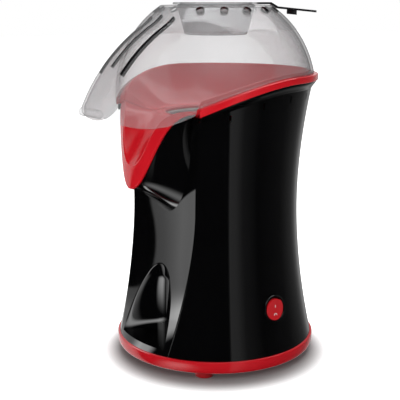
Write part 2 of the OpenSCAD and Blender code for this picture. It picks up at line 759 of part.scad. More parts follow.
module heater_frame() {
    color("tan") difference() {
        for (a = [0, 90]) rotate([0, 0, a]) {
            translate([-heater_hole_r - 2, -mica_t / 2, housing_top]) cube([2 * heater_hole_r + 4, mica_t, 3]);
            translate([3 - heater_hole_r, -mica_t / 2, housing_top]) cube([2 * heater_hole_r - 6, mica_t, mica_h]);
        }
        for (k = [0:coil_turns * 4])
            rotate([0, 0, k * 90]) translate([coil_r, 0, coil_z + k * coil_pitch / 4])
                rotate([90, 0, 0]) cylinder(r = coil_wire_r + 0.5, h = 4, center = true, $fn = 24);
    }
}

coil_sides = 8;
coil_rings = 18;
function coil_loop(i) =
    let (a = i * 360 / coil_rings)
    [for (j = [0:coil_sides - 1])
        let (b = j * 360 / coil_sides, r = coil_r + coil_wire_r * cos(b))
        [r * cos(a), r * sin(a), coil_z + coil_pitch * i / coil_rings + coil_wire_r * sin(b)]];

module heater_coil() {
    color(steel) skin_loops([for (i = [coil_turns * coil_rings:-1:0]) coil_loop(i)]);
}

thermostat_z = (chamber_z + flange_z) / 2 - 6.5;
thermostat_d = 15;
thermostat_h = 5;

module thermostat() {
    face = duct_r + duct_t - 0.6;
    color(steel) difference() {
        translate([0, face, thermostat_z]) rotate([-90, 0, 0]) {
            cylinder(d = thermostat_d, h = thermostat_h);
            cylinder(d = thermostat_d - 5, h = thermostat_h + 2.5);
            for (s = [-1, 1]) translate([s * 6 - 0.4, -2, 0]) cube([0.8, 4, thermostat_h + 7]);
        }
        cylinder(r = duct_r + duct_t + 0.05, h = 2 * thermostat_z, $fn = 96);
    }
}

fuse_d = 4;
module thermal_fuse() {
    color(steel) rotate([0, 0, 25]) translate([0, duct_r + duct_t + fuse_d / 2 + 0.1, thermostat_z - 8]) {
        cylinder(d = fuse_d, h = 11);
        translate([0, 0, -6]) cylinder(d = 1, h = 23);
    }
}

// ---- Fan ------------------------------------------------------------------------------

motor_boss_d = 13;
motor_boss_h = 2.2;
motor_screw_r = 9.5;
motor_screw_d = 2.6;
motor_screw_angles = [0, 180];
kidney_in = motor_d / 2 + 3.5;
kidney_out = post_r - 5;

module fan_carrier() {
    color(black) difference() {
        union() {
            translate([0, 0, fan_z]) cylinder(r = housing_r, h = carrier_t, $fn = 96);
            for (a = post_angles)
                rotate([0, 0, a]) translate([0, -post_r, plate_top]) cylinder(d = post_d, h = fan_z + 1 - plate_top);
        }
        translate([0, 0, fan_z - 1]) cylinder(d = motor_boss_d + 0.2, h = carrier_t + 2);
        for (a = motor_screw_angles)
            rotate([0, 0, a]) translate([motor_screw_r, 0, fan_z - 1])
                cylinder(d = motor_screw_d + 0.2, h = carrier_t + 2);
        for (a = [20, 140, 260])
            rotate([0, 0, a]) translate([0, 0, fan_z - 1])
                rotate_extrude(angle = 80) translate([kidney_in, 0]) square([kidney_out - kidney_in, carrier_t + 2]);
        for (a = post_angles)
            rotate([0, 0, a]) translate([0, -post_r, plate_top - 1]) cylinder(d = screw_d, h = screw_bite + 2);
    }
}

module carrier_screws() {
    color(steel) for (a = post_angles)
        rotate([0, 0, a]) translate([0, -post_r, plate_z - screw_head_h]) {
            cylinder(d = screw_head_d, h = screw_head_h);
            cylinder(d = screw_d, h = screw_head_h + plate_t + screw_bite);
        }
}

module fan_housing() {
    color("dimgray") rotate_extrude($fn = 96)
        polygon([[housing_r - housing_t, carrier_top], [housing_r, carrier_top],
                 [housing_r, housing_top - 2], [duct_r + duct_t + 0.7, housing_top - 2],
                 [duct_r + duct_t + 0.7, housing_top], [heater_hole_r, housing_top],
                 [heater_hole_r, housing_top - 2], [housing_r - housing_t, housing_top - 2]]);
}

fan_d = 2 * (housing_r - housing_t - fan_gap) + 1;
fan_floor = carrier_top + 2.5;
fan_disc_t = 1.6;
blade_h = 11;
blade_t = 1.4;
hub_d = 12;

module impeller() {
    color("gainsboro") difference() {
        union() {
            translate([0, 0, fan_floor]) cylinder(d = fan_d, h = fan_disc_t, $fn = 96);
            translate([0, 0, fan_floor]) cylinder(d = hub_d, h = blade_h + fan_disc_t);
            for (i = [0:blades - 1])
                rotate([0, 0, i * 360 / blades]) translate([12, 0, fan_floor + fan_disc_t - 0.2])
                    rotate([0, 0, 35]) translate([0, -blade_t / 2, 0]) cube([fan_d / 2 - 15, blade_t, blade_h]);
        }
        translate([0, 0, fan_floor - 1]) cylinder(d = shaft_d, h = blade_h + fan_disc_t + 2);
    }
}

can_t = 1.5;
bearing_d = 9;
bearing_h = 4;
can_z = fan_z - motor_l;
shaft_low = can_z - 3;
shaft_top = fan_floor + fan_disc_t + blade_h;

module motor_can() {
    r = motor_d / 2;
    pocket = bearing_d / 2;
    color(steel) difference() {
        rotate_extrude($fn = 64)
            polygon([[pocket, can_z], [r, can_z], [r, fan_z], [motor_boss_d / 2, fan_z],
                     [motor_boss_d / 2, fan_z + motor_boss_h], [pocket, fan_z + motor_boss_h],
                     [pocket, fan_z - bearing_h], [r - can_t, fan_z - bearing_h],
                     [r - can_t, can_z + bearing_h], [pocket, can_z + bearing_h]]);
        for (a = motor_screw_angles)
            rotate([0, 0, a]) translate([motor_screw_r, 0, fan_z - bearing_h - 1])
                cylinder(d = motor_screw_d, h = bearing_h + 2);
    }
}

module motor_bearings() {
    color(brass) for (z = [can_z, fan_z + motor_boss_h - bearing_h])
        translate([0, 0, z]) difference() {
            cylinder(d = bearing_d, h = bearing_h);
            translate([0, 0, -1]) cylinder(d = shaft_d + 0.06, h = bearing_h + 2);
        }
}

magnet_t = 3;
glue_t = 0.1;
module motor_magnets() {
    color("dimgray") for (a = [0, 180])
        rotate([0, 0, a - 65]) translate([0, 0, can_z + bearing_h]) rotate_extrude(angle = 130)
            translate([motor_d / 2 - can_t - magnet_t, 0]) square([magnet_t - glue_t, motor_l - 2 * bearing_h]);
}

module motor_rotor() {
    r = motor_d / 2 - can_t - magnet_t - 0.8;
    color("darkgray") translate([0, 0, can_z + bearing_h + 2]) difference() {
        cylinder(r = r, h = motor_l - 2 * bearing_h - 4);
        translate([0, 0, -1]) cylinder(d = shaft_d, h = motor_l);
    }
}

module motor_shaft() {
    color(steel) translate([0, 0, shaft_low]) cylinder(d = shaft_d, h = shaft_top - shaft_low);
}

module motor_screws() {
    color(steel) for (a = motor_screw_angles)
        rotate([0, 0, a]) translate([motor_screw_r, 0, 0]) {
            translate([0, 0, carrier_top]) cylinder(d = 5, h = 1.6);
            translate([0, 0, fan_z - bearing_h]) cylinder(d = motor_screw_d, h = bearing_h + carrier_t);
        }
}

board_t = 1.6;
module rectifier_board() {
    color("darkgreen") translate([0, 0, can_z - board_t]) difference() {
        cylinder(d = motor_d - 2, h = board_t);
        translate([0, 0, -1]) cylinder(d = shaft_d + 3, h = board_t + 2);
    }
    color("black") for (a = [45:90:315])
        rotate([0, 0, a]) translate([8.5, -3, can_z - board_t - 2.8]) cube([3, 6, 3]);
}

// ---- Switch and mains inlet -----------------------------------------------------------

rocker_d = switch_d - 2 * bezel_w;
switch_body_d = switch_d - 2.4;
switch_depth = 15;
switch_rim = 1.8;
rocker_gap = 0.6;
pivot_d = 2;
pivot_z = -1.2;
rocker_up = 4.2;
rocker_down = 3.4;

module switch_housing() {
    pocket_d = rocker_d + 2 * rocker_gap;
    color(black) at_switch() {
        difference() {
            rotate_extrude()
                polygon([[0, -switch_depth], [switch_body_d / 2, -switch_depth], [switch_body_d / 2, 0.6],
                         [switch_d / 2, 0.6], [switch_d / 2, 1.4], [switch_d / 2 - 0.7, switch_rim + 0.4],
                         [pocket_d / 2, switch_rim + 0.4], [pocket_d / 2, pivot_z - rocker_down - 1.6],
                         [0, pivot_z - rocker_down - 1.6]]);
            translate([0, 0, pivot_z]) rotate([90, 0, 0])
                cylinder(d = pivot_d, h = rocker_d + 2 * rocker_gap + 1, center = true);
        }
        for (s = [-1, 1]) translate([s * 4 - 0.4, -2.4, -switch_depth - 7]) cube([0.8, 4.8, 7.2]);
    }
}

module rocker() {
    color(red) at_switch() translate([0, 0, pivot_z]) rotate([0, rocker_tilt, 0]) difference() {
        translate([0, 0, -rocker_down]) cylinder(d = rocker_d, h = rocker_down + rocker_up);
        rotate([90, 0, 0]) cylinder(d = pivot_d + 0.1, h = rocker_d + 2, center = true);
        translate([0, 0, rocker_up + 26]) rotate([90, 0, 0]) cylinder(r = 26.9, h = rocker_d + 2, center = true, $fn = 128);
    }
}

module rocker_pivot() {
    color(steel) at_switch() translate([0, 0, pivot_z]) rotate([90, 0, 0])
        cylinder(d = pivot_d, h = rocker_d + 2 * rocker_gap + 1, center = true);
}

module cord_gland() {
    cord_d = 7;
    color(black) at_gland() rotate_extrude()
        polygon([[cord_d / 2, -wall - 5], [gland_d / 2 + 1.5, -wall - 5], [gland_d / 2 + 1.5, -wall - 0.6],
                 [gland_d / 2 - 0.1, -wall - 0.6], [gland_d / 2 - 0.1, 0.4], [gland_d / 2 + 1.5, 0.4],
                 [gland_d / 2 + 1.2, 2], [cord_d / 2, 2]]);
}

module terminal_block() {
    w = 26;
    d = 12;
    h = 11;
    color("white") translate([-w / 2, base_r - 33.6, plate_top]) difference() {
        cube([w, d, h]);
        for (i = [0:2]) translate([5 + 8 * i, d / 2, 4]) cylinder(d = 4, h = h);
        for (i = [0:2]) translate([5 + 8 * i, -1, 4.5]) rotate([-90, 0, 0]) cylinder(d = 3, h = d + 2);
    }
}

side_shell();
front_panel();
collar();
red_chute();
base_ring();
bottom_plate();
feet();
foot_screws();
clear_cover();
measuring_cup();
popping_chamber();
mouth_seal();
air_duct();
heater_frame();
heater_coil();
thermostat();
thermal_fuse();
fan_carrier();
carrier_screws();
fan_housing();
impeller();
motor_can();
motor_magnets();
motor_rotor();
motor_shaft();
motor_bearings();
motor_screws();
rectifier_board();
switch_housing();
rocker();
rocker_pivot();
cord_gland();
terminal_block();
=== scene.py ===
"""Looks of the hot-air popcorn maker: mouldings, finishes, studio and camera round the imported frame.

Sizes are in millimetres and follow the CAD part. Meshes are turned into metres when they are made.
"""

import json
import math

import bmesh
import bpy
from mathutils import Matrix, Vector

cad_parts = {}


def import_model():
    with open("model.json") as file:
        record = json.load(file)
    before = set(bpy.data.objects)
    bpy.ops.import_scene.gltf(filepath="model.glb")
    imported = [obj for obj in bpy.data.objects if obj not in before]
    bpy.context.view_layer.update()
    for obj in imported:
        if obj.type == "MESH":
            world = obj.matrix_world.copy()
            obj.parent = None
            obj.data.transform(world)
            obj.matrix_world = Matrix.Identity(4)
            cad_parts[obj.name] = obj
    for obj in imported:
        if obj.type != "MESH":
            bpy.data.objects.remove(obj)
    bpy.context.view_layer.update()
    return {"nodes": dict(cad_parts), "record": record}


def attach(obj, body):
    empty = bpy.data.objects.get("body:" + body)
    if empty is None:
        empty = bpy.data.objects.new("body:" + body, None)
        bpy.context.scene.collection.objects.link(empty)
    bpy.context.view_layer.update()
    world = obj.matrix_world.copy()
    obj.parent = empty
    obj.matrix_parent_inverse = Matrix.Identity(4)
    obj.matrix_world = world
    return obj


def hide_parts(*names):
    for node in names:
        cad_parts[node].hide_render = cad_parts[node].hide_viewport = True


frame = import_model()
SLOTS = {part["node"]: part["material_slot"] for part in frame["record"]["subparts"]}
MM = 0.001

# ---- Sizes shared with the CAD part --------------------------------------

# Side wall
BASE_R = 81.6
WAIST_R = 68.0
WAIST_Z = 130.0
WALL = 2.4
SEAM_FOOT = 33.0
SEAM_WAIST = 42.3
SEAM_GAP = 0.3

# Base and feet
FOOT_H = 5.5
FOOT_D = 15.0
FOOT_INSET = 10.6
RING_H = 10.1
RING_STEP = 1.65
PLATE_T = 2.5

# Rim, collar and chute
RIM_Z = 228.0
RIM_H = 5.0
RIM_R = BASE_R + 1.0
RIM_OVERHANG = 5.1
COLLAR_H = 6.5
SWEEP_R = 153.5
SWEEP_Y = 20.0
CHUTE_W = 52.0
CHUTE_TIP_Y = 85.5
CHUTE_TIP_Z = RIM_Z - 81.0
SPOUT_Z = RIM_Z - 62.0
MOUTH_Z = RIM_Z - 28.8
CHUTE_T = 2.4

# Clear cover
COVER_TOP_Z = RIM_Z + 58.5
COVER_T = 2.0
NOSE_REACH = 119.2
NOSE_TOP = 25.4
NOSE_R = 141.0
NOSE_W = 13.0
LIP_R = 3.2
SLOT_W = 1.6
VENT_D = 6.5

# Measuring cup
CUP_HOLE_R = 31.0
SEAT_GAP = 0.3
CUP_FLANGE = 3.5
CUP_TAPER = 6.0
CUP_DEPTH = 23.5
CUP_T = 1.6
HANDLE_REACH = 81.0
HANDLE_W = 14.0
HANDLE_TURN = 145.0
HANDLE_DROP = 6.5
HANDLE_BEND = 5.5
HANDLE_LIFT = 0.9
HANDLE_HOLE_D = 5.0
RIB_R = HANDLE_REACH - 24
RIB_L = 8.0
RIB_T = 1.6
RIB_H = 3.5

# Roasting chamber
CHAMBER_R = 41.0
DUCT_R = CHAMBER_R + 3.5
DUCT_T = 0.8

# Switch and cord
SWITCH_Z = 51.5
SWITCH_D = 22.0
BEZEL_W = 2.5
ROCKER_TILT = 7.0
GLAND_Z = 30.0
GLAND_D = 12.0
CORD_D = 7.0

# What follows from them
RING_Z = FOOT_H
BASE_Z = RING_Z + RING_H
CROWN_Z = RIM_Z - COLLAR_H
CROWN_R = RIM_R - RIM_OVERHANG
SWEEP_Z = RIM_Z - SWEEP_R
CURVE_POWER = 1.9
SEAM_POWER = 1.6
SEAM_CROWN = CHUTE_W - 2
FACE_Y = DUCT_R + DUCT_T + 5.0
SILL_Z = BASE_Z + 4.4
ARCH_TOP = SILL_Z + 61.5
ARCH_W = SEAM_FOOT - 4.0
RECESS_Y = FACE_Y - 0.8
COWL_TIP_Z = CHUTE_TIP_Z - 23.5
COWL_W = SEAM_WAIST - 3.8
PANEL_TOP = MOUTH_Z + 2.3
PANEL_RISE = 2.0


# ---- Shared surfaces -----------------------------------------------------


def sind(a):
    return math.sin(math.radians(a))


def cosd(a):
    return math.cos(math.radians(a))


def clamp(x, low=0.0, high=1.0):
    return max(low, min(high, x))


def turn_z(a):
    """Rotation about the axis, in degrees."""
    return Matrix.Rotation(math.radians(a), 4, "Z")


def polar(a, r, z):
    """The point at an angle from the front, round to the right, at radius r and height z."""
    return Vector((r * sind(a), -r * cosd(a), z))


def body_r(z):
    """Radius of the hourglass body at height z."""
    if z < WAIST_Z:
        return WAIST_R + (BASE_R - WAIST_R) * ((WAIST_Z - z) / (WAIST_Z - BASE_Z)) ** CURVE_POWER
    return WAIST_R + (CROWN_R - WAIST_R) * ((z - WAIST_Z) / (CROWN_Z - WAIST_Z)) ** CURVE_POWER


def seam_x(z):
    """Half the width of the front panel at height z."""
    z = clamp(z, BASE_Z, CROWN_Z)
    if z < WAIST_Z:
        return SEAM_WAIST - (SEAM_WAIST - SEAM_FOOT) * ((WAIST_Z - z) / (WAIST_Z - BASE_Z)) ** SEAM_POWER
    return SEAM_WAIST + (SEAM_CROWN - SEAM_WAIST) * ((z - WAIST_Z) / (CROWN_Z - WAIST_Z)) ** SEAM_POWER


def sweep_at(y, up=0.0):
    """Height of the swept edge that lies `up` above the rim's underside, at depth y."""
    r = SWEEP_R + up
    return SWEEP_Z + math.sqrt(r * r - min(0.0, y - SWEEP_Y) ** 2)


def swept(a, r, up):
    """The point of that swept edge at an angle from the front and a radius."""
    return Vector((r * sind(a), -r * cosd(a), sweep_at(-r * cosd(a), up)))


def soft_max(a, b, k):
    h = max(0.0, k - abs(a - b)) / k
    return max(a, b) + h * h * k / 4


def soft_min(a, b, k):
    return -soft_max(-a, -b, k)


# ---- Mesh making ---------------------------------------------------------

# Edges that bend by more degrees than this stay sharp
SHARP = 32


def rounded(points, radii):
    """A closed loop with its corners rounded, each within its own radius; 0 keeps a corner as it is."""
    steps = 3
    loop = []
    n = len(points)
    for i, (p, r) in enumerate(zip(points, radii)):
        before = points[i - 1] - p
        after = points[(i + 1) % n] - p
        start = p + before * min(r / max(before.length, 1e-6), 0.45)
        end = p + after * min(r / max(after.length, 1e-6), 0.45)
        for s in range(steps + 1) if r else [0]:
            t = s / steps
            loop.append(p.copy() if not r else start * (1 - t) ** 2 + p * 2 * t * (1 - t) + end * t * t)
    return loop


def add_bands(bm, rows, ring=False):
    """Quads between rows of vertices. Each row is a closed loop; `ring` joins the last to the first."""
    n = len(rows[0])
    for i in range(len(rows) if ring else len(rows) - 1):
        row, other = rows[i], rows[(i + 1) % len(rows)]
        for j in range(n):
            k = (j + 1) % n
            bm.faces.new((row[j], other[j], other[k], row[k]))


def add_loops(bm, rows, ring=False):
    """A closed skin over rows of points; unless it is a ring, quads close its two ends."""
    verts = [[bm.verts.new(p) for p in row] for row in rows]
    add_bands(bm, verts, ring)
    n = len(rows[0])
    if not ring:
        for row, flip in ((verts[0], False), (verts[-1], True)):
            for j in range(n // 2 - 1):
                quad = [row[j], row[j + 1], row[n - 2 - j], row[n - 1 - j]]
                bm.faces.new(quad[::-1] if flip else quad)


def add_revolved(bm, profile, steps, place=Matrix()):
    """A solid of revolution about Z from a closed profile of (radius, height); radius 0 is on the axis."""
    rings = []
    for r, z in profile:
        if r < 1e-6:
            rings.append([bm.verts.new(place @ Vector((0, 0, z)))])
        else:
            rings.append([bm.verts.new(place @ polar(360 * i / steps, r, z)) for i in range(steps)])
    for k, ring in enumerate(rings):
        other = rings[(k + 1) % len(rings)]
        if len(ring) == 1 and len(other) == 1:
            continue
        for i in range(steps):
            quad = [ring[i % len(ring)], ring[(i + 1) % len(ring)],
                    other[(i + 1) % len(other)], other[i % len(other)]]
            corners = list(dict.fromkeys(quad))
            if len(corners) > 2:
                bm.faces.new(corners)


def add_tube(bm, bore, r, low, high, steps, place):
    """A straight tube about Z, moved by a matrix; a bore of 0 makes it solid."""
    add_revolved(bm, [(bore, low), (r, low), (r, high), (bore, high)], steps, place)


def add_box(bm, low, high, place):
    """A box between two corners, moved by a matrix."""
    corners = [bm.verts.new(place @ Vector((x, y, z)))
               for z in (low[2], high[2])
               for x, y in ((low[0], low[1]), (high[0], low[1]), (high[0], high[1]), (low[0], high[1]))]
    for face in ((3, 2, 1, 0), (4, 5, 6, 7), (0, 1, 5, 4), (1, 2, 6, 5), (2, 3, 7, 6), (3, 0, 4, 7)):
        bm.faces.new([corners[i] for i in face])


def add_prism(bm, outline, low, high, place):
    """A straight prism over an outline of (x, y), from z low to z high, moved by a matrix."""
    bottom = [bm.verts.new(place @ Vector((x, y, low))) for x, y in outline]
    top = [bm.verts.new(place @ Vector((x, y, high))) for x, y in outline]
    bm.faces.new(bottom[::-1])
    bm.faces.new(top)
    n = len(outline)
    for i in range(n):
        k = (i + 1) % n
        bm.faces.new((bottom[i], bottom[k], top[k], top[i]))


def arc(cx, cy, r, start, end, steps):
    """Points (x, y) on an arc, angles in degrees."""
    turns = [start + (end - start) * i / steps for i in range(steps + 1)]
    return [(cx + r * cosd(a), cy + r * sind(a)) for a in turns]


def new_object(name, bm):
    """An object in metres from a bmesh in millimetres, with its faces turned outwards."""
    bmesh.ops.recalc_face_normals(bm, faces=bm.faces)
    bmesh.ops.scale(bm, vec=(MM, MM, MM), verts=bm.verts)
    mesh = bpy.data.meshes.new(name)
    bm.to_mesh(mesh)
    bm.free()
    obj = bpy.data.objects.new(name, mesh)
    bpy.context.scene.collection.objects.link(obj)
    return obj


def make(name, build):
    """An object from a function that fills a bmesh."""
    bm = bmesh.new()
    build(bm)
    return new_object(name, bm)


def sheet(name, w, h):
    """A flat rectangle about the origin, from half its width and half its height."""
    bm = bmesh.new()
    bm.faces.new([bm.verts.new((x * w, y * h, 0)) for x, y in ((-1, -1), (1, -1), (1, 1), (-1, 1))])
    return new_object(name, bm)


def settle(obj):
    """Applies the object's modifiers."""
    bpy.context.view_layer.update()
    graph = bpy.context.evaluated_depsgraph_get()
    mesh = bpy.data.meshes.new_from_object(obj.evaluated_get(graph))
    obj.modifiers.clear()
    obj.data = mesh


def cut(obj, build, operation="DIFFERENCE", paint=None):
    """Cuts the shape that a function builds from an object, or joins it on; `paint` is for the cut faces."""
    tool = make(obj.name + "_tool", build)
    modifier = obj.modifiers.new("cut", "BOOLEAN")
    if paint:
        tool.data.materials.append(paint)
        modifier.material_mode = "TRANSFER"
    modifier.operation = operation
    modifier.solver = "EXACT"
    modifier.use_self = True
    modifier.object = tool
    settle(obj)
    bpy.data.objects.remove(tool)


def soften(obj, width, angle):
    """Rounds every edge sharper than an angle."""
    modifier = obj.modifiers.new("soften", "BEVEL")
    modifier.width = width * MM
    modifier.segments = 2
    modifier.limit_method = "ANGLE"
    modifier.angle_limit = math.radians(angle)
    settle(obj)


def smooth_faces(obj):
    """Smooth shading, but for the sharp edges."""
    for polygon in obj.data.polygons:
        polygon.use_smooth = True
    obj.data.set_sharp_from_angle(angle=math.radians(SHARP))


def finish_piece(obj, body, slot, *nodes):
    """Shades, paints and mounts a piece, and hides the CAD nodes it stands for."""
    smooth_faces(obj)
    if not obj.data.materials:
        obj.data.materials.append(MATERIALS[slot])
    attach(obj, body)
    if nodes:
        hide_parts(*nodes)


# ---- Materials -----------------------------------------------------------


def new_material(name):
    material = bpy.data.materials.new(name)
    material.use_nodes = True
    tree = material.node_tree
    return material, tree, tree.nodes["Principled BSDF"]


def set_inputs(node, inputs):
    """Gives each input of a shader node a socket to follow, or a value."""
    for key, value in inputs.items():
        if isinstance(value, bpy.types.NodeSocket):
            node.id_data.links.new(value, node.inputs[key])
        else:
            node.inputs[key].default_value = value


def add_node(tree, kind, inputs, output=0, **settings):
    """One output of a new shader node."""
    node = tree.nodes.new("ShaderNode" + kind)
    for name, value in settings.items():
        setattr(node, name, value)
    set_inputs(node, inputs)
    return node.outputs[output]


def add_noise(tree, scale, detail, stretch=(1, 1, 1)):
    """A noise texture in the object's own space, in metres, stretched along an axis where asked."""
    place = add_node(tree, "TexCoord", {}, "Object")
    place = add_node(tree, "Mapping", {"Vector": place, "Scale": stretch})
    return add_node(tree, "TexNoise", {"Vector": place, "Scale": scale, "Detail": detail}, "Fac")


def add_math(tree, operation, *values):
    """A math node of values that are each a socket or a number."""
    return add_node(tree, "Math", dict(enumerate(values)), operation=operation)


def add_range(tree, value, low, high, start=0.0, end=1.0, blend="LINEAR"):
    """Spreads a value that runs from start to end over low to high."""
    inputs = {"Value": value, "From Min": start, "From Max": end, "To Min": low, "To Max": high}
    return add_node(tree, "MapRange", inputs, "Result", interpolation_type=blend)


def add_mix(tree, factor, first, second):
    """Mixes two colours by a factor."""
    inputs = {"Factor": factor, "A": (*first, 1), "B": (*second, 1)}
    return add_node(tree, "Mix", inputs, "Result", data_type="RGBA")


def add_bump(tree, height, depth):
    """A bump from a height, with its depth in millimetres."""
    return add_node(tree, "Bump", {"Strength": 1.0, "Distance": depth * MM, "Height": height}, "Normal")


def surface(name, color, shade, rough, grain, bump, metallic=0.0, stretch=(1, 1, 1)):
    """A finish: two close shades in a cloud, roughness over a range, and a fine grain in relief."""
    material, tree, shader = new_material(name)
    cloud = add_noise(tree, 35, 3)
    fine = add_noise(tree, grain, 2, stretch)
    set_inputs(shader, {"Base Color": add_mix(tree, cloud, color, [c * shade for c in color]),
                        "Roughness": add_range(tree, fine, *rough), "Normal": add_bump(tree, fine, bump),
                        "Metallic": metallic})
    return material


# Clear plastic: how soon it turns to its look edge on, how steeply its tint does, its haze and its gloss
CLEAR_BLEND = 0.35
CLEAR_POWER = 2.4
CLEAR_VEIL = (0.70, 0.70, 0.71, 1)
CLEAR_MIRROR = (0.88, 0.89, 0.90, 1)


def clear_plastic(name, tint, edge_tint, gloss, rough, haze):
    """Clear moulded plastic: see-through face on, darker and mirror-like edge on, with a milky haze."""
    material, tree, shader = new_material(name)
    facing = add_node(tree, "LayerWeight", {"Blend": CLEAR_BLEND}).node.outputs
    turned = add_math(tree, "POWER", facing["Facing"], CLEAR_POWER)
    through = add_node(tree, "BsdfTransparent", {"Color": add_mix(tree, turned, tint, edge_tint)})
    veil = add_node(tree, "BsdfDiffuse", {"Color": CLEAR_VEIL})
    body = add_node(tree, "MixShader", {"Fac": haze, 1: through, 2: veil})
    mirror = add_range(tree, facing["Fresnel"], *gloss)
    skin = add_node(tree, "MixShader", {"Fac": mirror, 1: body, 2: shader.outputs["BSDF"]})
    set_inputs(tree.nodes["Material Output"], {"Surface": skin})
    grain = add_noise(tree, 60, 2)
    set_inputs(shader, {"Base Color": CLEAR_MIRROR, "Metallic": 0.7,
                        "Roughness": add_range(tree, grain, *rough), "Normal": add_bump(tree, grain, 0.03)})
    return material


MATERIALS = {
    "black_shell": surface("black_abs", (0.0015, 0.0015, 0.0017), 1.4, (0.035, 0.06), 900, 0.0006),
    "red_shell": surface("red_abs", (0.62, 0.010, 0.018), 0.94, (0.09, 0.15), 900, 0.001),
    "red_rocker": surface("red_rocker", (0.60, 0.012, 0.018), 0.9, (0.18, 0.26), 1400, 0.002),
    "foot_rubber": surface("red_rubber", (0.50, 0.010, 0.016), 0.8, (0.5, 0.7), 2600, 0.02),
    "clear_cover": clear_plastic("clear_cover", (0.922, 0.923, 0.925), (0.10, 0.10, 0.102), (0.012, 0.14),
                                 (0.03, 0.06), 0.10),
    "clear_cup": clear_plastic("clear_cup", (0.83, 0.831, 0.833), (0.12, 0.12, 0.122), (0.012, 0.16),
                               (0.04, 0.08), 0.10),
    # Painted shade: a near-black colour for the cut edges of clear plastic, which look dark
    "painted_dark_edge": surface("clear_cut_edge_painted_shade", (0.008, 0.008, 0.009), 1.5, (0.12, 0.2), 1500, 0.004),
    "chamber_metal": surface("drawn_aluminium", (0.75, 0.75, 0.76), 0.93, (0.25, 0.38), 500, 0.004, 1.0,
                             stretch=(1, 1, 12)),
    "silicone": surface("silicone", (0.80, 0.78, 0.72), 0.94, (0.5, 0.6), 1500, 0.01),
    "zinc_sheet": surface("zinc_sheet", (0.62, 0.63, 0.65), 0.85, (0.3, 0.45), 260, 0.006, 1.0),
    "mica": surface("mica_board", (0.66, 0.58, 0.42), 0.75, (0.4, 0.6), 700, 0.03, stretch=(1, 1, 4)),
    "heating_wire": surface("heating_wire", (0.40, 0.36, 0.33), 0.7, (0.35, 0.5), 1800, 0.006, 1.0),
    "thermostat_metal": surface("pressed_aluminium", (0.72, 0.72, 0.73), 0.92, (0.2, 0.3), 900, 0.003, 1.0),
    "fuse_metal": surface("tinned_metal", (0.70, 0.68, 0.62), 0.9, (0.25, 0.35), 1500, 0.003, 1.0),
    "inner_plastic": surface("inner_plastic", (0.035, 0.035, 0.037), 0.8, (0.4, 0.55), 1800, 0.02),
    "fan_plastic": surface("fan_plastic", (0.55, 0.55, 0.53), 0.93, (0.35, 0.5), 1600, 0.01),
    "magnet": surface("ferrite", (0.06, 0.06, 0.065), 0.7, (0.55, 0.75), 2200, 0.03),
    "motor_steel": surface("motor_steel", (0.55, 0.56, 0.58), 0.9, (0.22, 0.34), 400, 0.003, 1.0,
                           stretch=(1, 1, 10)),
    "rotor_steel": surface("rotor_laminations", (0.42, 0.42, 0.44), 0.8, (0.3, 0.45), 300, 0.02, 1.0,
                           stretch=(0.2, 0.2, 14)),
    "bearing_bronze": surface("sintered_bronze", (0.62, 0.42, 0.20), 0.8, (0.35, 0.5), 2500, 0.01, 1.0),
    "screw_steel": surface("screw_steel", (0.60, 0.61, 0.63), 0.9, (0.2, 0.3), 1200, 0.003, 1.0),
    "board": surface("circuit_board", (0.02, 0.12, 0.05), 0.7, (0.3, 0.45), 1200, 0.01),
    "ceramic": surface("steatite", (0.80, 0.78, 0.74), 0.94, (0.3, 0.45), 1500, 0.01),
}


def paint_frame():
    """Gives every CAD node the finish of its own slot."""
    for name, node in frame["nodes"].items():
        material = MATERIALS.get(SLOTS[name], MATERIALS["inner_plastic"])
        node.data.materials.clear()
        node.data.materials.append(material)
        for polygon in node.data.polygons:
            polygon.material_index = 0
        smooth_faces(node)


# ---- Side shell ----------------------------------------------------------

SLIT_H = 5.0
SLIT_W = 1.6
SLIT_DROP = 5.0
SLIT_TURNS = range(60, 161, 20)
FOOT_R = BASE_R - FOOT_INSET
FOOT_TURNS = (45, 135, 225, 315)
PLATE_TOP = RING_Z + 2 + PLATE_T
BOSS_D = 9.0
BOSS_TOP = PLATE_TOP + 18
BOSS_WEB = 3.0
FOOT_SCREW_D = 3.5
SWITCH_BODY_D = SWITCH_D - 2.4


def on_wall(angle, z):
    """Matrix of a piece square on the outside of the body, at an angle from the right side."""
    reach = 5
    slope = math.atan((body_r(z - reach) - body_r(z + reach)) / (2 * reach))
    return (turn_z(angle) @ Matrix.Translation((body_r(z), 0, z))
            @ Matrix.Rotation(math.pi / 2 - slope, 4, "Y"))


def on_foot(a):
    """Matrix of a foot, or of the boss over it."""
    return turn_z(a) @ Matrix.Translation((0, -FOOT_R, 0))


def wall_point(s, v, inset):
    """A point of the side shell: s from one seam round the back to the other, v from its foot up."""
    # Its angle hangs on its height and its height on its angle, so both are found step by step
    z = BASE_Z
    for _ in range(6):
        first = math.degrees(math.asin((seam_x(z) + SEAM_GAP) / (body_r(z) - inset)))
        a = first + (360 - 2 * first) * s
        top_z = CROWN_Z
        for _ in range(4):
            top_z = sweep_at(-(body_r(top_z) - inset) * cosd(a), -COLLAR_H)
        z = BASE_Z + (top_z - BASE_Z) * v
    return polar(a, body_r(z) - inset, z)


def build_side_shell(bm):
    """The hourglass side wall, open at the front, its outer edges rounded along the seams."""
    edge = 0.8
    span = 2 * math.pi * WAIST_R * 0.77
    steps, levels = 216, 72
    near = [(edge * (1 - cosd(t)) / span, edge * (1 - sind(t))) for t in range(0, 91, 15)]
    columns = near + [(i / steps, 0.0) for i in range(1, steps)] + [(1 - s, d) for s, d in near[::-1]]
    rows = []
    for s, back in columns:
        outer = [wall_point(s, j / levels, back) for j in range(levels + 1)]
        inner = [wall_point(s, j / levels, WALL) for j in range(levels, -1, -1)]
        rows.append(outer + inner)
    add_loops(bm, rows)


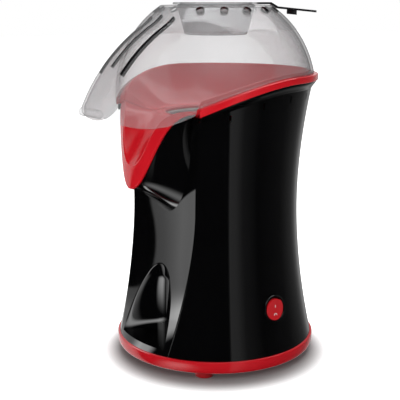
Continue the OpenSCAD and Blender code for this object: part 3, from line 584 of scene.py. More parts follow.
def build_bosses(bm):
    """The four screw bosses over the feet, each with a web to the wall."""
    half = BOSS_WEB / 2
    wall = body_r(BOSS_TOP) - WALL / 2
    for a in FOOT_TURNS:
        add_tube(bm, FOOT_SCREW_D / 2, BOSS_D / 2, PLATE_TOP, BOSS_TOP, 32, on_foot(a))
        add_box(bm, (-half, -wall, BASE_Z + 1), (half, 1.5 - FOOT_R - BOSS_D / 2, BOSS_TOP), turn_z(a))


def build_wall_cuts(bm):
    """Slits under the collar, and the holes for the switch and the cord."""
    r = body_r(CROWN_Z - 10)
    for side in (-1, 1):
        for a in SLIT_TURNS:
            z = sweep_at(-body_r(CROWN_Z) * cosd(a), -COLLAR_H) - SLIT_DROP
            add_box(bm, (r - 6, -SLIT_W / 2, z - SLIT_H / 2), (r + 6, SLIT_W / 2, z + SLIT_H / 2),
                    turn_z(side * a - 90))
    for place, d in ((on_wall(0, SWITCH_Z), SWITCH_BODY_D + 0.2), (on_wall(90, GLAND_Z), GLAND_D)):
        add_tube(bm, 0, d / 2, -12, 12, 64, place)


def side_shell():
    obj = make("side_shell_skin", build_side_shell)
    cut(obj, build_wall_cuts)
    bosses = make("shell_bosses", build_bosses)
    finish_piece(obj, "body", "black_shell", "side_shell")
    finish_piece(bosses, "body", "black_shell")


# ---- Front panel and cowl ------------------------------------------------

FACE_POWER = 2.2
ARCH_POWER = 1.85
RECESS_POWER = 2.2
RECESS_FADE = 14.0
RECESS_COLS = 20
OUTER_COLS = 16
STRIP_W = 0.6
STRIP_FLARE = 0.12


def face_mid(z):
    """Depth of the panel's middle at height z, taken forward from the axis."""
    if z >= WAIST_Z:
        return FACE_Y
    return FACE_Y + (BASE_R - FACE_Y) * ((WAIST_Z - z) / (WAIST_Z - BASE_Z)) ** FACE_POWER


def face_at(x, z):
    """Depth of the front panel's face, without its recess."""
    edge = math.sqrt(body_r(z) ** 2 - seam_x(z) ** 2)
    k = x / seam_x(z)
    return -(face_mid(z) + (edge - face_mid(z)) * k * k)


def arch_half(z):
    """Half the width of the arched recess at height z."""
    s = (z - SILL_Z) / (ARCH_TOP - SILL_Z)
    return ARCH_W * math.sqrt(max(0.0, 1 - max(0.0, s) ** ARCH_POWER))


def recess_depth(x, z):
    """How far the recess lies behind the panel's face."""
    w = arch_half(z)
    k = 1.0 if w < 0.5 else min(1.0, abs(x) / w)
    fade = math.sqrt(clamp((ARCH_TOP - z) / RECESS_FADE))
    return (face_mid(z) - RECESS_Y) * fade * max(0.0, 1 - k ** RECESS_POWER) ** 0.75


def panel_point(z, j, recessed, back):
    """A grid point of the panel: j counts columns from the middle, first over the recess, then beside it."""
    w = max(arch_half(z), STRIP_W + STRIP_FLARE * max(0.0, z - ARCH_TOP))
    s = seam_x(z)
    i = abs(j)
    if i <= RECESS_COLS:
        x = (1 - (1 - i / RECESS_COLS) ** 2) * w
    else:
        x = w + (i - RECESS_COLS) / OUTER_COLS * (s - w)
    x = math.copysign(x, j)
    if z > ARCH_TOP:
        rise = clamp((i - RECESS_COLS) / OUTER_COLS)
        z += (z - ARCH_TOP) / (PANEL_TOP - ARCH_TOP) * PANEL_RISE * rise
    return Vector((x, face_at(x, z) + (recess_depth(x, z) if recessed else 0) + back, z))


def cowl_foot(a, inset=0.0):
    """The cowl's outline on the panel; the angle runs from one side to the other."""
    w = COWL_W - inset
    h = PANEL_TOP - COWL_TIP_Z - inset
    x = w * sind(a)
    z = PANEL_TOP - h * cosd(a)
    return Vector((x, face_at(x, z), z))


def build_panel(bm):
    """The panel as levels from its foot up, with a hair between two levels where the sill steps."""
    arch = [SILL_Z + (ARCH_TOP - SILL_Z) * sind(90 * i / 36) for i in range(1, 37)]
    above = [ARCH_TOP + (PANEL_TOP - ARCH_TOP) * i / 40 for i in range(1, 41)]
    hair = 0.01
    levels = [BASE_Z, SILL_Z - WALL - hair, SILL_Z - WALL, SILL_Z - hair, SILL_Z] + arch + above
    cols = range(-RECESS_COLS - OUTER_COLS, RECESS_COLS + OUTER_COLS + 1)
    rows = []
    for z in levels:
        outer = [panel_point(z, j, z >= SILL_Z, 0) for j in cols]
        inner = [panel_point(z, j, z >= SILL_Z - WALL, WALL) for j in reversed(cols)]
        rows.append(outer + inner)
    add_loops(bm, rows)


def build_cowl_opening(bm):
    """The way through the panel that the cowl covers, cut along Y."""
    outline = [(p.x, p.z) for p in (cowl_foot(90 * i / 40, WALL) for i in range(-40, 41))]
    outline += [(COWL_W - WALL, RIM_Z), (WALL - COWL_W, RIM_Z)]
    add_prism(bm, outline, 0, 2 * BASE_R, Matrix.Rotation(math.pi / 2, 4, "X"))


# The chute's edge, which the cowl's own edge follows
CORNER_INSET = 5.4
SHIELD_BACK = math.sqrt((RIM_R - CORNER_INSET) ** 2 - CHUTE_W ** 2)
SHIELD_TOP = sweep_at(-SHIELD_BACK) + 0.7
SPOUT_TOP = SHIELD_TOP + 2
RIM_START = math.degrees(math.atan(CHUTE_W / SHIELD_BACK)) + 1.16
SHIELD_LIFT = 0.6
SHIELD_POWER = 1.6
SPOUT_SET = 3.0
SPOUT_W = 0.6
FLARE_W = 0.94
FLARE_START = 0.7
FLARE_RUN = 0.3
COWL_GAP = 0.25
COWL_SET = 0.9
COWL_SWELL = 3.5
COWL_DIP = 3.7
COWL_REACH = 0.93


def shield(t):
    """Outer edge of the chute's shield, t from -1 to 1 across its width."""
    u = abs(t)
    rise = u + SHIELD_LIFT * u * u * (1 - u)
    return Vector((CHUTE_W * t,
                   -CHUTE_TIP_Y + (CHUTE_TIP_Y - SHIELD_BACK) * u ** SHIELD_POWER,
                   CHUTE_TIP_Z + (SHIELD_TOP - CHUTE_TIP_Z) * (1 - cosd(180 * rise)) / 2))


def spout(t):
    """Edge of the chute's opening, for the same t."""
    u = abs(t)
    flare = (max(0.0, u - FLARE_START) / FLARE_RUN) ** 2
    return Vector((math.copysign(CHUTE_W * (SPOUT_W * u + (FLARE_W - SPOUT_W) * flare), t),
                   SPOUT_SET - CHUTE_TIP_Y + (CHUTE_TIP_Y - SHIELD_BACK - SPOUT_SET) * u ** 3,
                   SPOUT_Z + (SPOUT_TOP - SPOUT_Z) * (1 - cosd(180 * u ** 1.25)) / 2))


def cowl_point(t, v):
    """A point of the cowl, v from the chute's edge down to the panel."""
    top = shield(COWL_REACH * t) + Vector((0, CHUTE_T + COWL_GAP, -COWL_SET))
    foot = cowl_foot(90 * math.copysign(abs(t) ** 0.9, t)) + Vector((0, WALL / 2, 0))
    side = COWL_SWELL * abs(t) * sind(180 * v)
    keel = COWL_DIP * (1 - abs(t)) ** 2 * sind(180 * v ** 0.75)
    return top.lerp(foot, v) + Vector((0, -side / 2, keel))


def build_cowl(bm):
    """The cowl under the chute; its inner skin is set off toward the middle of the body."""
    cols, steps = 120, 30
    rows = []
    for i in range(cols + 1):
        outer = [cowl_point(-1 + 2 * i / cols, j / steps) for j in range(steps + 1)]
        inner = [p + WALL * (Vector((0, -40, p.z + 18)) - p).normalized() for p in reversed(outer)]
        rows.append(outer + inner)
    add_loops(bm, rows)


def front_panel():
    obj = make("front_panel_skin", build_panel)
    cut(obj, build_cowl_opening)
    cowl = make("cowl", build_cowl)
    finish_piece(obj, "body", "black_shell", "front_panel")
    finish_piece(cowl, "body", "black_shell")


# ---- Collar, chute and base ----------------------------------------------

COLLAR_R = RIM_R - 1.4
COLLAR_GAP = 0.6
PART_GAP = 0.1
LIP_OUT_R = RIM_R - 6.8
LIP_IN_R = LIP_OUT_R - 1.8
LIP_H = 2.5


def collar_loop(a):
    """Section of the collar at an angle from the front, from its foot on the wall up under the rim."""
    foot = body_r(min(CROWN_Z, sweep_at(-body_r(CROWN_Z) * cosd(a), -COLLAR_H)))
    top = -PART_GAP - 2.2 * clamp(RIM_START + 1 - min(a, 360 - a))
    points = [swept(a, foot - WALL, PART_GAP - COLLAR_H), swept(a, foot + 0.2, PART_GAP - COLLAR_H),
              swept(a, foot + (COLLAR_R - foot) * 0.35, -COLLAR_H * 0.7),
              swept(a, COLLAR_R - 0.4, top - 2), swept(a, COLLAR_R, top - 1.1),
              swept(a, COLLAR_R, top), swept(a, LIP_OUT_R + COLLAR_GAP, top)]
    return rounded(points, [0, 0.3, 1.5, 0.6, 0.3, 0.3, 0])


def build_collar(bm):
    widest = CHUTE_W * COWL_REACH + COLLAR_GAP
    first = math.degrees(math.asin(widest / (body_r(sweep_at(-SHIELD_BACK, -COLLAR_H)) - WALL)))
    steps = 240
    rows = [collar_loop(first + i * (360 - 2 * first) / steps) for i in range(steps + 1)]
    verts = [[bm.verts.new(p) for p in row] for row in rows]
    add_bands(bm, verts)
    bm.faces.new(verts[0])
    bm.faces.new(verts[-1][::-1])


MOUTH_R = CHAMBER_R + 0.2
MOUTH_FLAT_R = DUCT_R + 3.1
BOWL_STEPS = 14


def bowl(m, edge, f):
    """A point on the bowl's slope, from the flat ring m out to the edge."""
    bend = 1 + 0.5 * clamp((edge.z - MOUTH_Z) / 40 + 0.48)
    return Vector((m.x + (edge.x - m.x) * f, m.y + (edge.y - m.y) * f, m.z + (edge.z - m.z) * f ** bend))


def chute_loop(a, edge, bead, ledge, outer, under, under_in):
    """Section of the chute moulding: its bowl from the chamber's mouth out to the edge, and back below."""
    top = MOUTH_Z + CHUTE_T
    m = polar(a, MOUTH_FLAT_R, top)
    drop = Vector((0, 0, -CHUTE_T))
    fine = [i / BOWL_STEPS for i in range(1, BOWL_STEPS)]
    slope = [bowl(m, edge, f) for f in fine]
    below = [bowl(m, edge, f) + drop for f in reversed(fine[:-1])]
    points = ([polar(a, MOUTH_R, top), m] + slope + [edge, bead, ledge, outer, under, under_in]
              + below + [polar(a, MOUTH_FLAT_R, MOUTH_Z), polar(a, MOUTH_R, MOUTH_Z)])
    radii = ([0.6, 2.5] + [0] * len(slope) + [0.9, 0.9, 0.6, 0.9, 0.6, 0.3] + [0] * len(below) + [1, 0.5])
    return rounded(points, radii)


def rim_loop(a):
    """Section of the chute moulding where its edge is the rim."""
    return chute_loop(a, swept(a, LIP_IN_R, RIM_H + LIP_H), swept(a, LIP_OUT_R, RIM_H + LIP_H),
                      swept(a, LIP_OUT_R + 0.1, RIM_H), swept(a, RIM_R, RIM_H), swept(a, RIM_R, 0),
                      swept(a, LIP_OUT_R, 0))


def shield_loop(t):
    """Section of the chute moulding where its edge is the shield."""
    edge = spout(t)
    out = shield(t)
    d = (out - edge).normalized()
    back = Vector((0, CHUTE_T, -0.6))
    return chute_loop(RIM_START * t * 0.97, edge, edge + 1.2 * d + Vector((0, -0.7, 0)),
                      edge + 2.6 * d + Vector((0, -0.3, 0)), out, out + back, edge + 1.5 * d + back)


def build_chute(bm):
    shield_steps, rim_steps = 96, 190
    span = 360 - 2 * RIM_START
    rows = [shield_loop(-1 + 2 * i / shield_steps) for i in range(shield_steps + 1)]
    rows += [rim_loop(RIM_START + i * span / rim_steps) for i in range(rim_steps + 1)]
    add_loops(bm, rows, ring=True)


RING_R = BASE_R + RING_STEP
RING_BORE = BASE_R - 19.6
PLATE_R = BASE_R - 5.6
PLATE_Z = RING_Z + 2


def build_base_ring(bm):
    lower = ((2.6, 0), (1.9, 0.2), (1.2, 0.7), (0.7, 1.4), (0.4, 2.2), (0.1, 3.8), (0, 5.5))
    upper = ((0, 1.1), (0.1, 0.6), (0.35, 0.2), (0.8, 0))
    outside = [(RING_R - inset, RING_Z + h) for inset, h in lower]
    outside += [(RING_R - inset, BASE_Z - h) for inset, h in upper]
    ledge = [(PLATE_R + 0.2, BASE_Z), (PLATE_R + 0.2, PLATE_Z), (RING_BORE, PLATE_Z)]
    add_revolved(bm, [(RING_BORE, RING_Z)] + outside + ledge, 288)


def build_feet(bm):
    bore = FOOT_SCREW_D / 2 + 0.1
    pocket = 3.7
    r = FOOT_D / 2
    profile = [(pocket, 0), (r - 1.2, 0), (r - 0.35, 0.35), (r, 1.2), (r, FOOT_H), (bore, FOOT_H),
               (bore, 3.5), (pocket, 3.5)]
    for a in FOOT_TURNS:
        add_revolved(bm, profile, 64, on_foot(a))


def trim():
    """Collar, chute, base ring and feet."""
    finish_piece(make("collar_band", build_collar), "body", "black_shell", "collar")
    finish_piece(make("chute_moulding", build_chute), "body", "red_shell", "red_chute")
    finish_piece(make("base_band", build_base_ring), "body", "red_shell", "base_ring")
    finish_piece(make("rubber_feet", build_feet), "body", "foot_rubber", "feet")


# ---- Clear cover ---------------------------------------------------------

COVER_INSET = 0.9
DOME_SET = 0.9
DOME_R = RIM_R - COVER_INSET
DOME_Z = RIM_Z - 10
SKIRT_Z = RIM_Z - 16
SKIRT_LOW = RIM_Z - 30.4
SKIRT_R = 46.0
SKIRT_Y = NOSE_REACH - 30.2
NOSE_TURN = 32
NOSE_END = 90 - NOSE_TURN
NOSE_SET = 0.8
NOSE_SOFT = 1.5
FACET_W = 5
COVER_GAP = 0.4
COVER_TURN = 90 * 0.94
SLOT_START = 0.25
SLOT_END = 0.77
SLOT_DELAY = 0.04
VENT_R = CUP_HOLE_R + 17.5
VENT_TURNS = range(37, 170, 22)

NOSE_RUN = NOSE_REACH - NOSE_TOP
NOSE_RISE = COVER_TOP_Z - SKIRT_Z
NOSE_CHORD = math.hypot(NOSE_RUN, NOSE_RISE)
NOSE_BOW = math.sqrt(NOSE_R ** 2 - NOSE_CHORD ** 2 / 4)
NOSE_AXIS_Y = NOSE_BOW * NOSE_RISE / NOSE_CHORD - (NOSE_REACH + NOSE_TOP) / 2
NOSE_AXIS_Z = (SKIRT_Z + COVER_TOP_Z) / 2 - NOSE_BOW * NOSE_RUN / NOSE_CHORD
NOSE_LOW = math.degrees(math.atan((SKIRT_Z - NOSE_AXIS_Z) / (NOSE_REACH + NOSE_AXIS_Y)))
NOSE_HIGH = math.degrees(math.atan((COVER_TOP_Z - NOSE_AXIS_Z) / (NOSE_TOP + NOSE_AXIS_Y)))


def nose_y(z):
    """Distance of the nose's middle from the axis at height z."""
    h = max(z, SKIRT_Z) - NOSE_AXIS_Z
    return math.sqrt(max(1.0, NOSE_R ** 2 - h * h)) - NOSE_AXIS_Y


def dome_at(z):
    """Radius of the dome at height z."""
    return math.sqrt(DOME_R ** 2 - max(0.0, z - DOME_Z) ** 2) - DOME_SET


def cover_r(a, z):
    """Distance of the cover's outer face from the axis, at an angle from the front and height z."""
    u = min(a, 360 - a)
    if u >= NOSE_END:
        return dome_at(z)
    y = nose_y(z)
    side_x = NOSE_W + FACET_W
    side_y = y - NOSE_SET - FACET_W
    facet = (NOSE_W + y - NOSE_SET) * cosd(45) / cosd(45 - u)
    side = (side_x * cosd(NOSE_TURN) + side_y * sind(NOSE_TURN)) / sind(u + NOSE_TURN)
    nose = soft_min(soft_min(y / cosd(u), facet, NOSE_SOFT), side, NOSE_SOFT)
    return soft_max(dome_at(z), nose, 3)


def cover_low(a, inset=0.0):
    """Height of the cover's lower edge at an angle from the front."""
    u = min(a, 360 - a)
    y = (inset - cover_r(u, SKIRT_Z)) * cosd(u)
    if u < RIM_START - 1.6:
        return SKIRT_LOW + SKIRT_R - math.sqrt(max(1.0, SKIRT_R ** 2 - (y + SKIRT_Y) ** 2))
    return sweep_at(y, RIM_H) + COVER_GAP


def cover_loop(a):
    """Section of the cover at an angle from the front: down its outside, and up its inside."""
    levels = 44
    low_out = cover_low(a)
    low_in = cover_low(a, COVER_T)
    outer = []
    inner = []
    for i in range(levels + 1):
        rise = sind(COVER_TURN * i / levels)
        z = low_out + (COVER_TOP_Z - low_out) * rise
        outer.append(polar(a, cover_r(a, z), z))
        z = low_in + (COVER_TOP_Z - COVER_T - low_in) * rise
        r = cover_r(a, z + 0.35 * (z - low_in) / 60 * COVER_T) - COVER_T * 1.08
        inner.append(polar(a, r, z))
    points = [polar(a, CUP_HOLE_R, COVER_TOP_Z)] + outer[::-1] + inner
    points.append(polar(a, CUP_HOLE_R, COVER_TOP_Z - COVER_T))
    radii = [0.3, 1.5] + [0] * (levels - 1) + [0.6, 0.6] + [0] * (levels - 1) + [1.5, 0.3]
    return rounded(points, radii)


def build_cover(bm):
    last = RIM_START - 1.5
    front = [last * i / 44 for i in range(45)]
    back = [last + (180 - last) * i / 76 for i in range(1, 77)]
    half = front + back
    rows = [cover_loop(a) for a in half] + [cover_loop(360 - a) for a in half[-2:0:-1]]
    add_loops(bm, rows, ring=True)


def build_lip(bm):
    """The rolled lip along the nose's end, rounded at its own ends."""
    place = (Matrix.Translation((0, -nose_y(SKIRT_Z) + 1.2, cover_low(0) - 0.4))
             @ Matrix.Rotation(math.pi / 2, 4, "Y"))
    ends = arc(LIP_R - 1, NOSE_W - 1, 1, 0, 90, 5)
    profile = [(0, -NOSE_W)] + [(r, -h) for r, h in ends[::-1]] + ends + [(0, NOSE_W)]
    add_revolved(bm, profile, 48, place)


def build_cover_cuts(bm):
    """The slots along the nose and the round steam vents on the shoulders."""
    steps = 16
    for side in (-1, 0, 1):
        x = side * (NOSE_W + 2)
        first = SLOT_START + (SLOT_DELAY if side == 0 else 0)
        outline = []
        for r, order in ((NOSE_R + 8, range(steps + 1)), (NOSE_R - 14, range(steps, -1, -1))):
            for i in order:
                a = NOSE_LOW + (NOSE_HIGH - NOSE_LOW) * (first + i * (SLOT_END - first) / steps)
                outline.append((NOSE_AXIS_Y - r * cosd(a), NOSE_AXIS_Z + r * sind(a)))
        stand = Matrix.Rotation(math.pi / 2, 4, "Z") @ Matrix.Rotation(math.pi / 2, 4, "X")
        add_prism(bm, outline, x - SLOT_W / 2, x + SLOT_W / 2, stand)
    lift = math.atan((COVER_TOP_Z - 3 - DOME_Z) / VENT_R)
    for side in (-1, 1):
        for a in VENT_TURNS:
            place = (turn_z(side * a - 90) @ Matrix.Translation((0, 0, DOME_Z))
                     @ Matrix.Rotation(math.pi / 2 - lift, 4, "Y") @ Matrix.Translation((0, 0, DOME_R)))
            add_tube(bm, 0, VENT_D / 2, -10, 10, 40, place)


def clear_cover():
    obj = make("cover_dome", build_cover)
    cut(obj, build_lip, "UNION")
    # Painted before the cuts, whose faces take a near-black colour: painted shade for the darker look of an
    # edge of clear plastic
    obj.data.materials.append(MATERIALS["clear_cover"])
    cut(obj, build_cover_cuts, paint=MATERIALS["painted_dark_edge"])
    finish_piece(obj, "cover", "clear_cover", "clear_cover")


# ---- Measuring cup -------------------------------------------------------

HANDLE_END = HANDLE_REACH - HANDLE_W / 2


def build_cup(bm):
    top = COVER_TOP_Z + SEAT_GAP
    floor_z = COVER_TOP_Z - CUP_DEPTH
    neck = CUP_HOLE_R - 0.6
    foot = CUP_HOLE_R - CUP_TAPER
    rim = CUP_HOLE_R + CUP_FLANGE
    profile = [Vector(p) for p in (
        (foot, 0, floor_z), (neck, 0, COVER_TOP_Z - 4), (neck, 0, top), (rim, 0, top),
        (rim, 0, top + CUP_T), (neck - CUP_T, 0, top + CUP_T), (neck - CUP_T, 0, COVER_TOP_Z - 4),
        (foot - CUP_T, 0, floor_z + CUP_T), (foot - 6, 0, floor_z + CUP_T), (foot - 6, 0, floor_z))]
    # The last two points only shape the bends before them: the floor runs on to the axis
    smooth = rounded(profile, [1.5, 1.0, 0.3, 0.6, 0.7, 0.6, 1.0, 1.5, 0, 0])[:-2]
    add_revolved(bm, [(0, floor_z)] + [(p.x, p.z) for p in smooth] + [(0, floor_z + CUP_T)], 144)


def handle_line():
    """Along the handle's underside, as (radius, height): flat, down over the dome's shoulder, and out."""
    top = COVER_TOP_Z + SEAT_GAP
    shoulder = dome_at(COVER_TOP_Z)
    bend = shoulder + HANDLE_BEND
    dome_top = DOME_Z + math.sqrt(DOME_R ** 2 - (bend + DOME_SET) ** 2)
    return [(CUP_HOLE_R + CUP_FLANGE - 1, top), (shoulder, top), (bend, dome_top + HANDLE_LIFT),
            (HANDLE_REACH, top - HANDLE_DROP)]


def handle_z(r):
    """Height of the handle's underside at radius r, beyond its bend."""
    (r0, z0), (r1, z1) = handle_line()[2:]
    return z0 + (z1 - z0) * (r - r0) / (r1 - r0)


def add_plates(bm, sections):
    """A bar along the handle from sections of (radius, half the width, underside, top)."""
    turn = turn_z(HANDLE_TURN - 90)
    add_loops(bm, [[turn @ Vector(p) for p in ((r, -w, low), (r, w, low), (r, w, high), (r, -w, high))]
                   for r, w, low, high in sections])


def build_handle(bm):
    """The bent handle with its round end."""
    sections = [(r, HANDLE_W / 2, z, z + CUP_T) for r, z in handle_line()[:3]]
    for i in range(17):
        a = math.radians(i * 5.5)
        r = HANDLE_END + HANDLE_W / 2 * math.sin(a)
        sections.append((r, HANDLE_W / 2 * math.cos(a), handle_z(r), handle_z(r) + CUP_T))
    add_plates(bm, sections)


def build_handle_rib(bm):
    add_plates(bm, [(r, RIB_T / 2, handle_z(r) - RIB_H, handle_z(r) + CUP_T / 2)
                    for r in (RIB_R, RIB_R + RIB_L)])


def build_handle_hole(bm):
    place = turn_z(HANDLE_TURN - 90) @ Matrix.Translation((HANDLE_END, 0, handle_z(HANDLE_END)))
    add_tube(bm, 0, HANDLE_HOLE_D / 2, -2, 4, 40, place)


def measuring_cup():
    obj = make("cup", build_cup)
    cut(obj, build_handle, "UNION")
    cut(obj, build_handle_rib, "UNION")
    cut(obj, build_handle_hole)
    obj.data.materials.append(MATERIALS["clear_cup"])
    obj.data.materials.append(MATERIALS["painted_dark_edge"])
    # The handle's cut edges get the near-black colour, painted shade for how dark they look
    for face in obj.data.polygons:
        far = (CUP_HOLE_R + CUP_FLANGE) * MM < face.center.xy.length
        face.material_index = 1 if far and abs(face.normal.z) < 0.5 else 0
    soften(obj, 0.3, 50)
    finish_piece(obj, "cup", "clear_cup", "measuring_cup")


# ---- Switch and cord gland -----------------------------------------------

ROCKER_D = SWITCH_D - 2 * BEZEL_W
ROCKER_GAP = 0.6
PIVOT_Z = -1.2
ROCKER_UP = 4.2
ROCKER_DOWN = 3.4
HOLLOW_R = 26.9
HOLLOW_Z = ROCKER_UP + 26.0
MARK_LIFT = 0.06
STROKE_X = -3.4
RING_X = 4.6


def rocker_place():
    return (on_wall(0, SWITCH_Z) @ Matrix.Translation((0, 0, PIVOT_Z))
            @ Matrix.Rotation(math.radians(ROCKER_TILT), 4, "Y"))


def rocker_top(x):
    """Height of the rocker's hollow top over its pivot, x along its tilt."""
    return HOLLOW_Z - math.sqrt(HOLLOW_R ** 2 - x * x)


def build_bezel(bm):
    pocket = ROCKER_D / 2 + ROCKER_GAP
    floor_z = PIVOT_Z - ROCKER_DOWN - 1.6
    r = SWITCH_D / 2
    body = SWITCH_BODY_D / 2
    profile = [(0, -15), (body, -15), (body, 0.6), (r, 0.6), (r, 1.2), (r - 0.15, 1.7), (r - 0.6, 2.1),
               (r - 1.1, 2.2), (pocket + 0.3, 2.2), (pocket, 1.9), (pocket, floor_z), (0, floor_z)]
    place = on_wall(0, SWITCH_Z)
    add_revolved(bm, profile, 96, place)
    for side in (-1, 1):
        add_box(bm, (side * 4 - 0.4, -2.4, -22), (side * 4 + 0.4, 2.4, -14.8), place)


def build_rocker(bm):
    """The round rocker with its concave top, as rings over a disc."""
    place = rocker_place()
    r = ROCKER_D / 2
    steps = 96
    loops = []
    for scale, drop in ((0.25, 0), (0.5, 0), (0.7, 0), (0.85, 0), (0.95, 0), (0.975, 0.06), (0.993, 0.2),
                        (1, 0.45)):
        spots = arc(0, 0, r * scale, 0, 360, steps)[:-1]
        loops.append([bm.verts.new(place @ Vector((x, y, rocker_top(x) - drop))) for x, y in spots])
    loops.append([bm.verts.new(place @ polar(90 + 360 * i / steps, r, -ROCKER_DOWN)) for i in range(steps)])
    middle = bm.verts.new(place @ Vector((0, 0, rocker_top(0))))
    for i in range(steps):
        bm.faces.new((middle, loops[0][i], loops[0][(i + 1) % steps]))
    add_bands(bm, loops)
    bm.faces.new(loops[-1][::-1])


def build_gland(bm):
    r = GLAND_D / 2
    bore = CORD_D / 2
    profile = [(bore, -WALL - 5), (r + 1.5, -WALL - 5), (r + 1.5, -WALL - 0.6), (r - 0.1, -WALL - 0.6),
               (r - 0.1, 0.4), (r + 1.5, 0.4), (r + 1.4, 1.3), (r + 1.0, 1.8), (r + 0.5, 2.0),
               (bore + 0.5, 2.0), (bore, 1.6)]
    add_revolved(bm, profile, 96, on_wall(90, GLAND_Z))


def build_marks(bm):
    """The plain on and off marks, a stroke and a ring, standing a hair above the rocker."""
    place = rocker_place()
    stroke = place @ Matrix.Translation((STROKE_X, 0, rocker_top(STROKE_X) - 0.2))
    add_box(bm, (-1.7, -0.25, 0), (1.7, 0.25, 0.2 + MARK_LIFT), stroke)
    ring = place @ Matrix.Translation((RING_X, 0, rocker_top(RING_X) - 0.3))
    add_tube(bm, 1.05, 1.6, 0, 0.3 + MARK_LIFT, 48, ring)


def switch():
    """Switch and cord gland."""
    finish_piece(make("switch_bezel", build_bezel), "body", "black_shell", "switch_housing")
    finish_piece(make("rocker_cap", build_rocker), "switch_rocker", "red_rocker", "rocker")
    marks = make("rocker_marks", build_marks)
    white = surface("mark_paint", (0.75, 0.74, 0.72), 0.95, (0.4, 0.5), 2000, 0.002)
    marks.data.materials.append(white)
    finish_piece(marks, "switch_rocker", "red_rocker")
    finish_piece(make("gland", build_gland), "body", SLOTS["cord_gland"], "cord_gland")


# ---- Studio and camera ---------------------------------------------------

CAMERA_AZIMUTH = 51.5
CAMERA_D = 730.0
CAMERA_H = 290.0
CAMERA_PITCH = 0.2205
CAMERA_YAW = -0.0175
CAMERA_F = 892.0
PICTURE = 400
SENSOR = 36.0


def camera():
    scene = bpy.context.scene
    data = bpy.data.cameras.new("camera")
    data.sensor_width = SENSOR
    data.lens = CAMERA_F * SENSOR / PICTURE
    data.clip_start = 0.01
    obj = bpy.data.objects.new("camera", data)
    turn = Matrix.Rotation(math.radians(CAMERA_AZIMUTH), 3, "Z")
    forward = turn @ Vector((math.sin(CAMERA_YAW) * math.cos(CAMERA_PITCH),
                             math.cos(CAMERA_YAW) * math.cos(CAMERA_PITCH), -math.sin(CAMERA_PITCH)))
    obj.location = (turn @ Vector((0, -CAMERA_D, CAMERA_H))) * MM
    obj.rotation_euler = forward.to_track_quat("-Z", "Y").to_euler()
    scene.collection.objects.link(obj)
    scene.camera = obj


def lamp(name, place, aim, size, level, reflected=True):
    """A rectangular lamp of a brightness, aimed at a point; it may stay out of reflections."""
    data = bpy.data.lights.new(name, "AREA")
    data.shape = "RECTANGLE"
    data.size, data.size_y = size[0] * MM, size[1] * MM
    data.energy = level * math.pi * data.size * data.size_y
    obj = bpy.data.objects.new(name, data)
    obj.location = place * MM
    obj.rotation_euler = (aim - place).to_track_quat("-Z", "Y").to_euler()
    obj.visible_camera = False
    obj.visible_glossy = reflected
    bpy.context.scene.collection.objects.link(obj)


def card(name, place, aim, size, level, fade):
    """A sheet that glows toward its aim, in reflections alone; `fade` is the share that dims to its edges."""
    w, h = size[0] / 2, size[1] / 2
    obj = sheet(name, w, h)
    obj.matrix_world = (Matrix.Translation(place * MM)
                        @ (place - aim).to_track_quat("Z", "Y").to_matrix().to_4x4())
    material, tree, shader = new_material(name)
    split = add_node(tree, "SeparateXYZ", {"Vector": add_node(tree, "TexCoord", {}, "Object")}).node
    glow = add_math(tree, "MULTIPLY", add_node(tree, "NewGeometry", {}, "Backfacing"), level)
    for axis, half, share in (("X", w, fade[0]), ("Y", h, fade[1])):
        spread = add_range(tree, add_math(tree, "ABSOLUTE", split.outputs[axis]), 0.0, 1.0,
                           half * MM, half * (1 - share) * MM, "SMOOTHSTEP")
        glow = add_math(tree, "MULTIPLY", spread, glow)
    clear = add_node(tree, "BsdfTransparent", {})
    both = add_node(tree, "AddShader", {0: clear, 1: add_node(tree, "Emission", {"Strength": glow})})
    set_inputs(tree.nodes["Material Output"], {"Surface": both})
    tree.nodes.remove(shader)
    obj.data.materials.append(material)
    obj.visible_camera = False
    obj.visible_diffuse = False
    obj.visible_transmission = False
    obj.visible_shadow = False


# The room as glossy surfaces see it, round the compass: degrees to the camera's right, and brightness.
# A white backdrop stands behind the object, the camera's side is dark, and a dim sheet stands at the right.
ROOM = ((-180, 1.0), (-150, 0.9), (-118, 1.0), (-113.5, 1.2), (-109, 1.0), (-104, 0.8), (-99.6, 0.75),
        (-98.6, 0.0), (18.0, 0.0), (19.2, 0.42), (28, 0.36), (38, 0.12), (60, 0.01), (100, 0.05), (118, 0.12),
        (130, 0.16), (141, 0.28), (150, 0.5), (154, 0.6), (159, 0.3), (166, 0.42), (180, 0.85))
ROOM_PEAK = 2.0
# Its level straight below, and the heights of a unit vector between which it rises to full
ROOM_UNDER = 0.15
ROOM_RISE = (-0.85, -0.6)


def add_along(tree, vector, direction):
    """How far a vector runs along a direction."""
    return add_node(tree, "VectorMath", {0: vector, 1: direction}, "Value", operation="DOT_PRODUCT")


def add_seen(tree):
    """1 where a surface is seen straight or through something clear, and 0 for all other light."""
    path = add_node(tree, "LightPath", {}).node.outputs
    return add_math(tree, "MAXIMUM", path["Is Camera Ray"], path["Is Transmission Ray"])


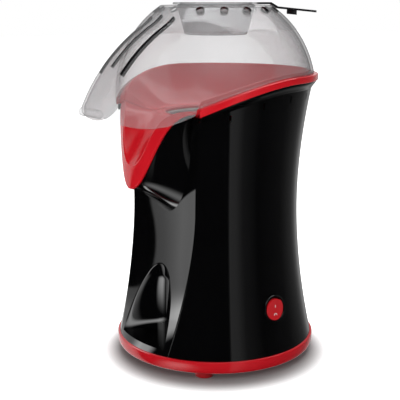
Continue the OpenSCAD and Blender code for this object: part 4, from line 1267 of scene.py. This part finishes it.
def world():
    """White for the camera, and the studio room for reflections."""
    made = bpy.data.worlds.new("studio")
    bpy.context.scene.world = made
    made.use_nodes = True
    tree = made.node_tree
    place = add_node(tree, "TexCoord", {}, "Generated")
    right = add_along(tree, place, polar(CAMERA_AZIMUTH + 90, 1, 0))
    near = add_along(tree, place, polar(CAMERA_AZIMUTH, 1, 0))
    turn = add_math(tree, "ARCTAN2", right, near)
    around = add_math(tree, "MULTIPLY_ADD", turn, 0.5 / math.pi, 0.5)
    ramp = add_node(tree, "ValToRGB", {"Fac": around}, "Color")
    stops = ramp.node.color_ramp.elements
    while len(stops) < len(ROOM):
        stops.new(0.5)
    for stop, (angle, level) in zip(stops, ROOM):
        stop.position = angle / 360 + 0.5
        stop.color = (level / ROOM_PEAK,) * 3 + (1,)
    room = add_math(tree, "MULTIPLY", ramp, ROOM_PEAK)
    under = add_range(tree, add_along(tree, place, (0, 0, 1)), ROOM_UNDER, 1.0, *ROOM_RISE)
    room = add_math(tree, "MULTIPLY", room, under)
    seen = add_seen(tree)
    room = add_math(tree, "MAXIMUM", room, seen)
    strength = add_node(tree, "Mix", {"Factor": seen, "A": room, "B": 1.0}, "Result")
    set_inputs(tree.nodes["Background"], {"Color": (1, 1, 1, 1), "Strength": strength})


# The floor's own white: a little near the object, where its shadow shows, and all of it further out. Near the
# object its colour is also a darker grey, a painted shadow that fades to pale over the same reach, centred a
# little toward the camera
FLOOR_REACH = 6000
PAINTED_SHADOW_REACH = (78.0, 108.0)
PAINTED_SHADOW_MIDDLE = polar(CAMERA_AZIMUTH + 5, 7, 0)
FLOOR_LIFT = 0.02
PAINTED_SHADOW_GREY = 0.35


def floor():
    """A pale floor that shows white, but for the object's own shadow and a painted shadow of darker grey
    round its foot.
    """
    obj = sheet("floor", FLOOR_REACH, FLOOR_REACH)
    material, tree, shader = new_material("floor")
    place = add_node(tree, "TexCoord", {}, "Object")
    distance = add_node(tree, "VectorMath", {0: place}, "Value", operation="LENGTH")
    near, far = PAINTED_SHADOW_REACH
    spread = add_range(tree, distance, FLOOR_LIFT, 1.0, near * MM, far * MM, "SMOOTHSTEP")
    # Painted shadow: near the object the floor's colour is a darker grey
    set_inputs(shader, {"Base Color": add_mix(tree, spread, (PAINTED_SHADOW_GREY,) * 3, (0.9, 0.9, 0.9)),
                        "Roughness": 0.6, "Specular IOR Level": 0.0, "Emission Color": (1, 1, 1, 1),
                        "Emission Strength": add_math(tree, "MULTIPLY", spread, add_seen(tree))})
    obj.data.materials.append(material)
    obj.location = PAINTED_SHADOW_MIDDLE * MM
    obj.visible_glossy = False


def studio():
    """Camera, room, floor and lamps, with the small sheets that glossy surfaces mirror."""
    camera()
    world()
    floor()
    middle = Vector((0, 0, 130))
    sky = polar(64, 700, 800)
    lamp("top_lamp", polar(CAMERA_AZIMUTH + 150, 250, 900), middle, (800, 800), 3.2)
    lamp("sky_lamp", sky, middle, (1000, 700), 1.6, reflected=False)
    card("sky_card", sky, middle, (1300, 900), 1.6, (0.8, 0.8))
    lamp("front_fill", polar(25, 1150, 170), middle, (900, 500), 4.2, reflected=False)
    card("left_card", Vector((-40, -134, 40)), Vector((30, -70, 40)), (72, 76), 5.0, (0.75, 0.9))
    card("floor_card", Vector((46, -98, 0.5)), Vector((46, -98, 100)), (68, 70), 2.2, (1.0, 1.0))
    sill = Vector((2, -73, SILL_Z + 0.4))
    card("sill_card", sill, sill + Vector((0, 0, 100)), (58, 13), 5.0, (0.5, 1.0))
    bpy.context.scene.view_settings.view_transform = "Standard"


paint_frame()
side_shell()
front_panel()
trim()
clear_cover()
measuring_cup()
switch()
studio()
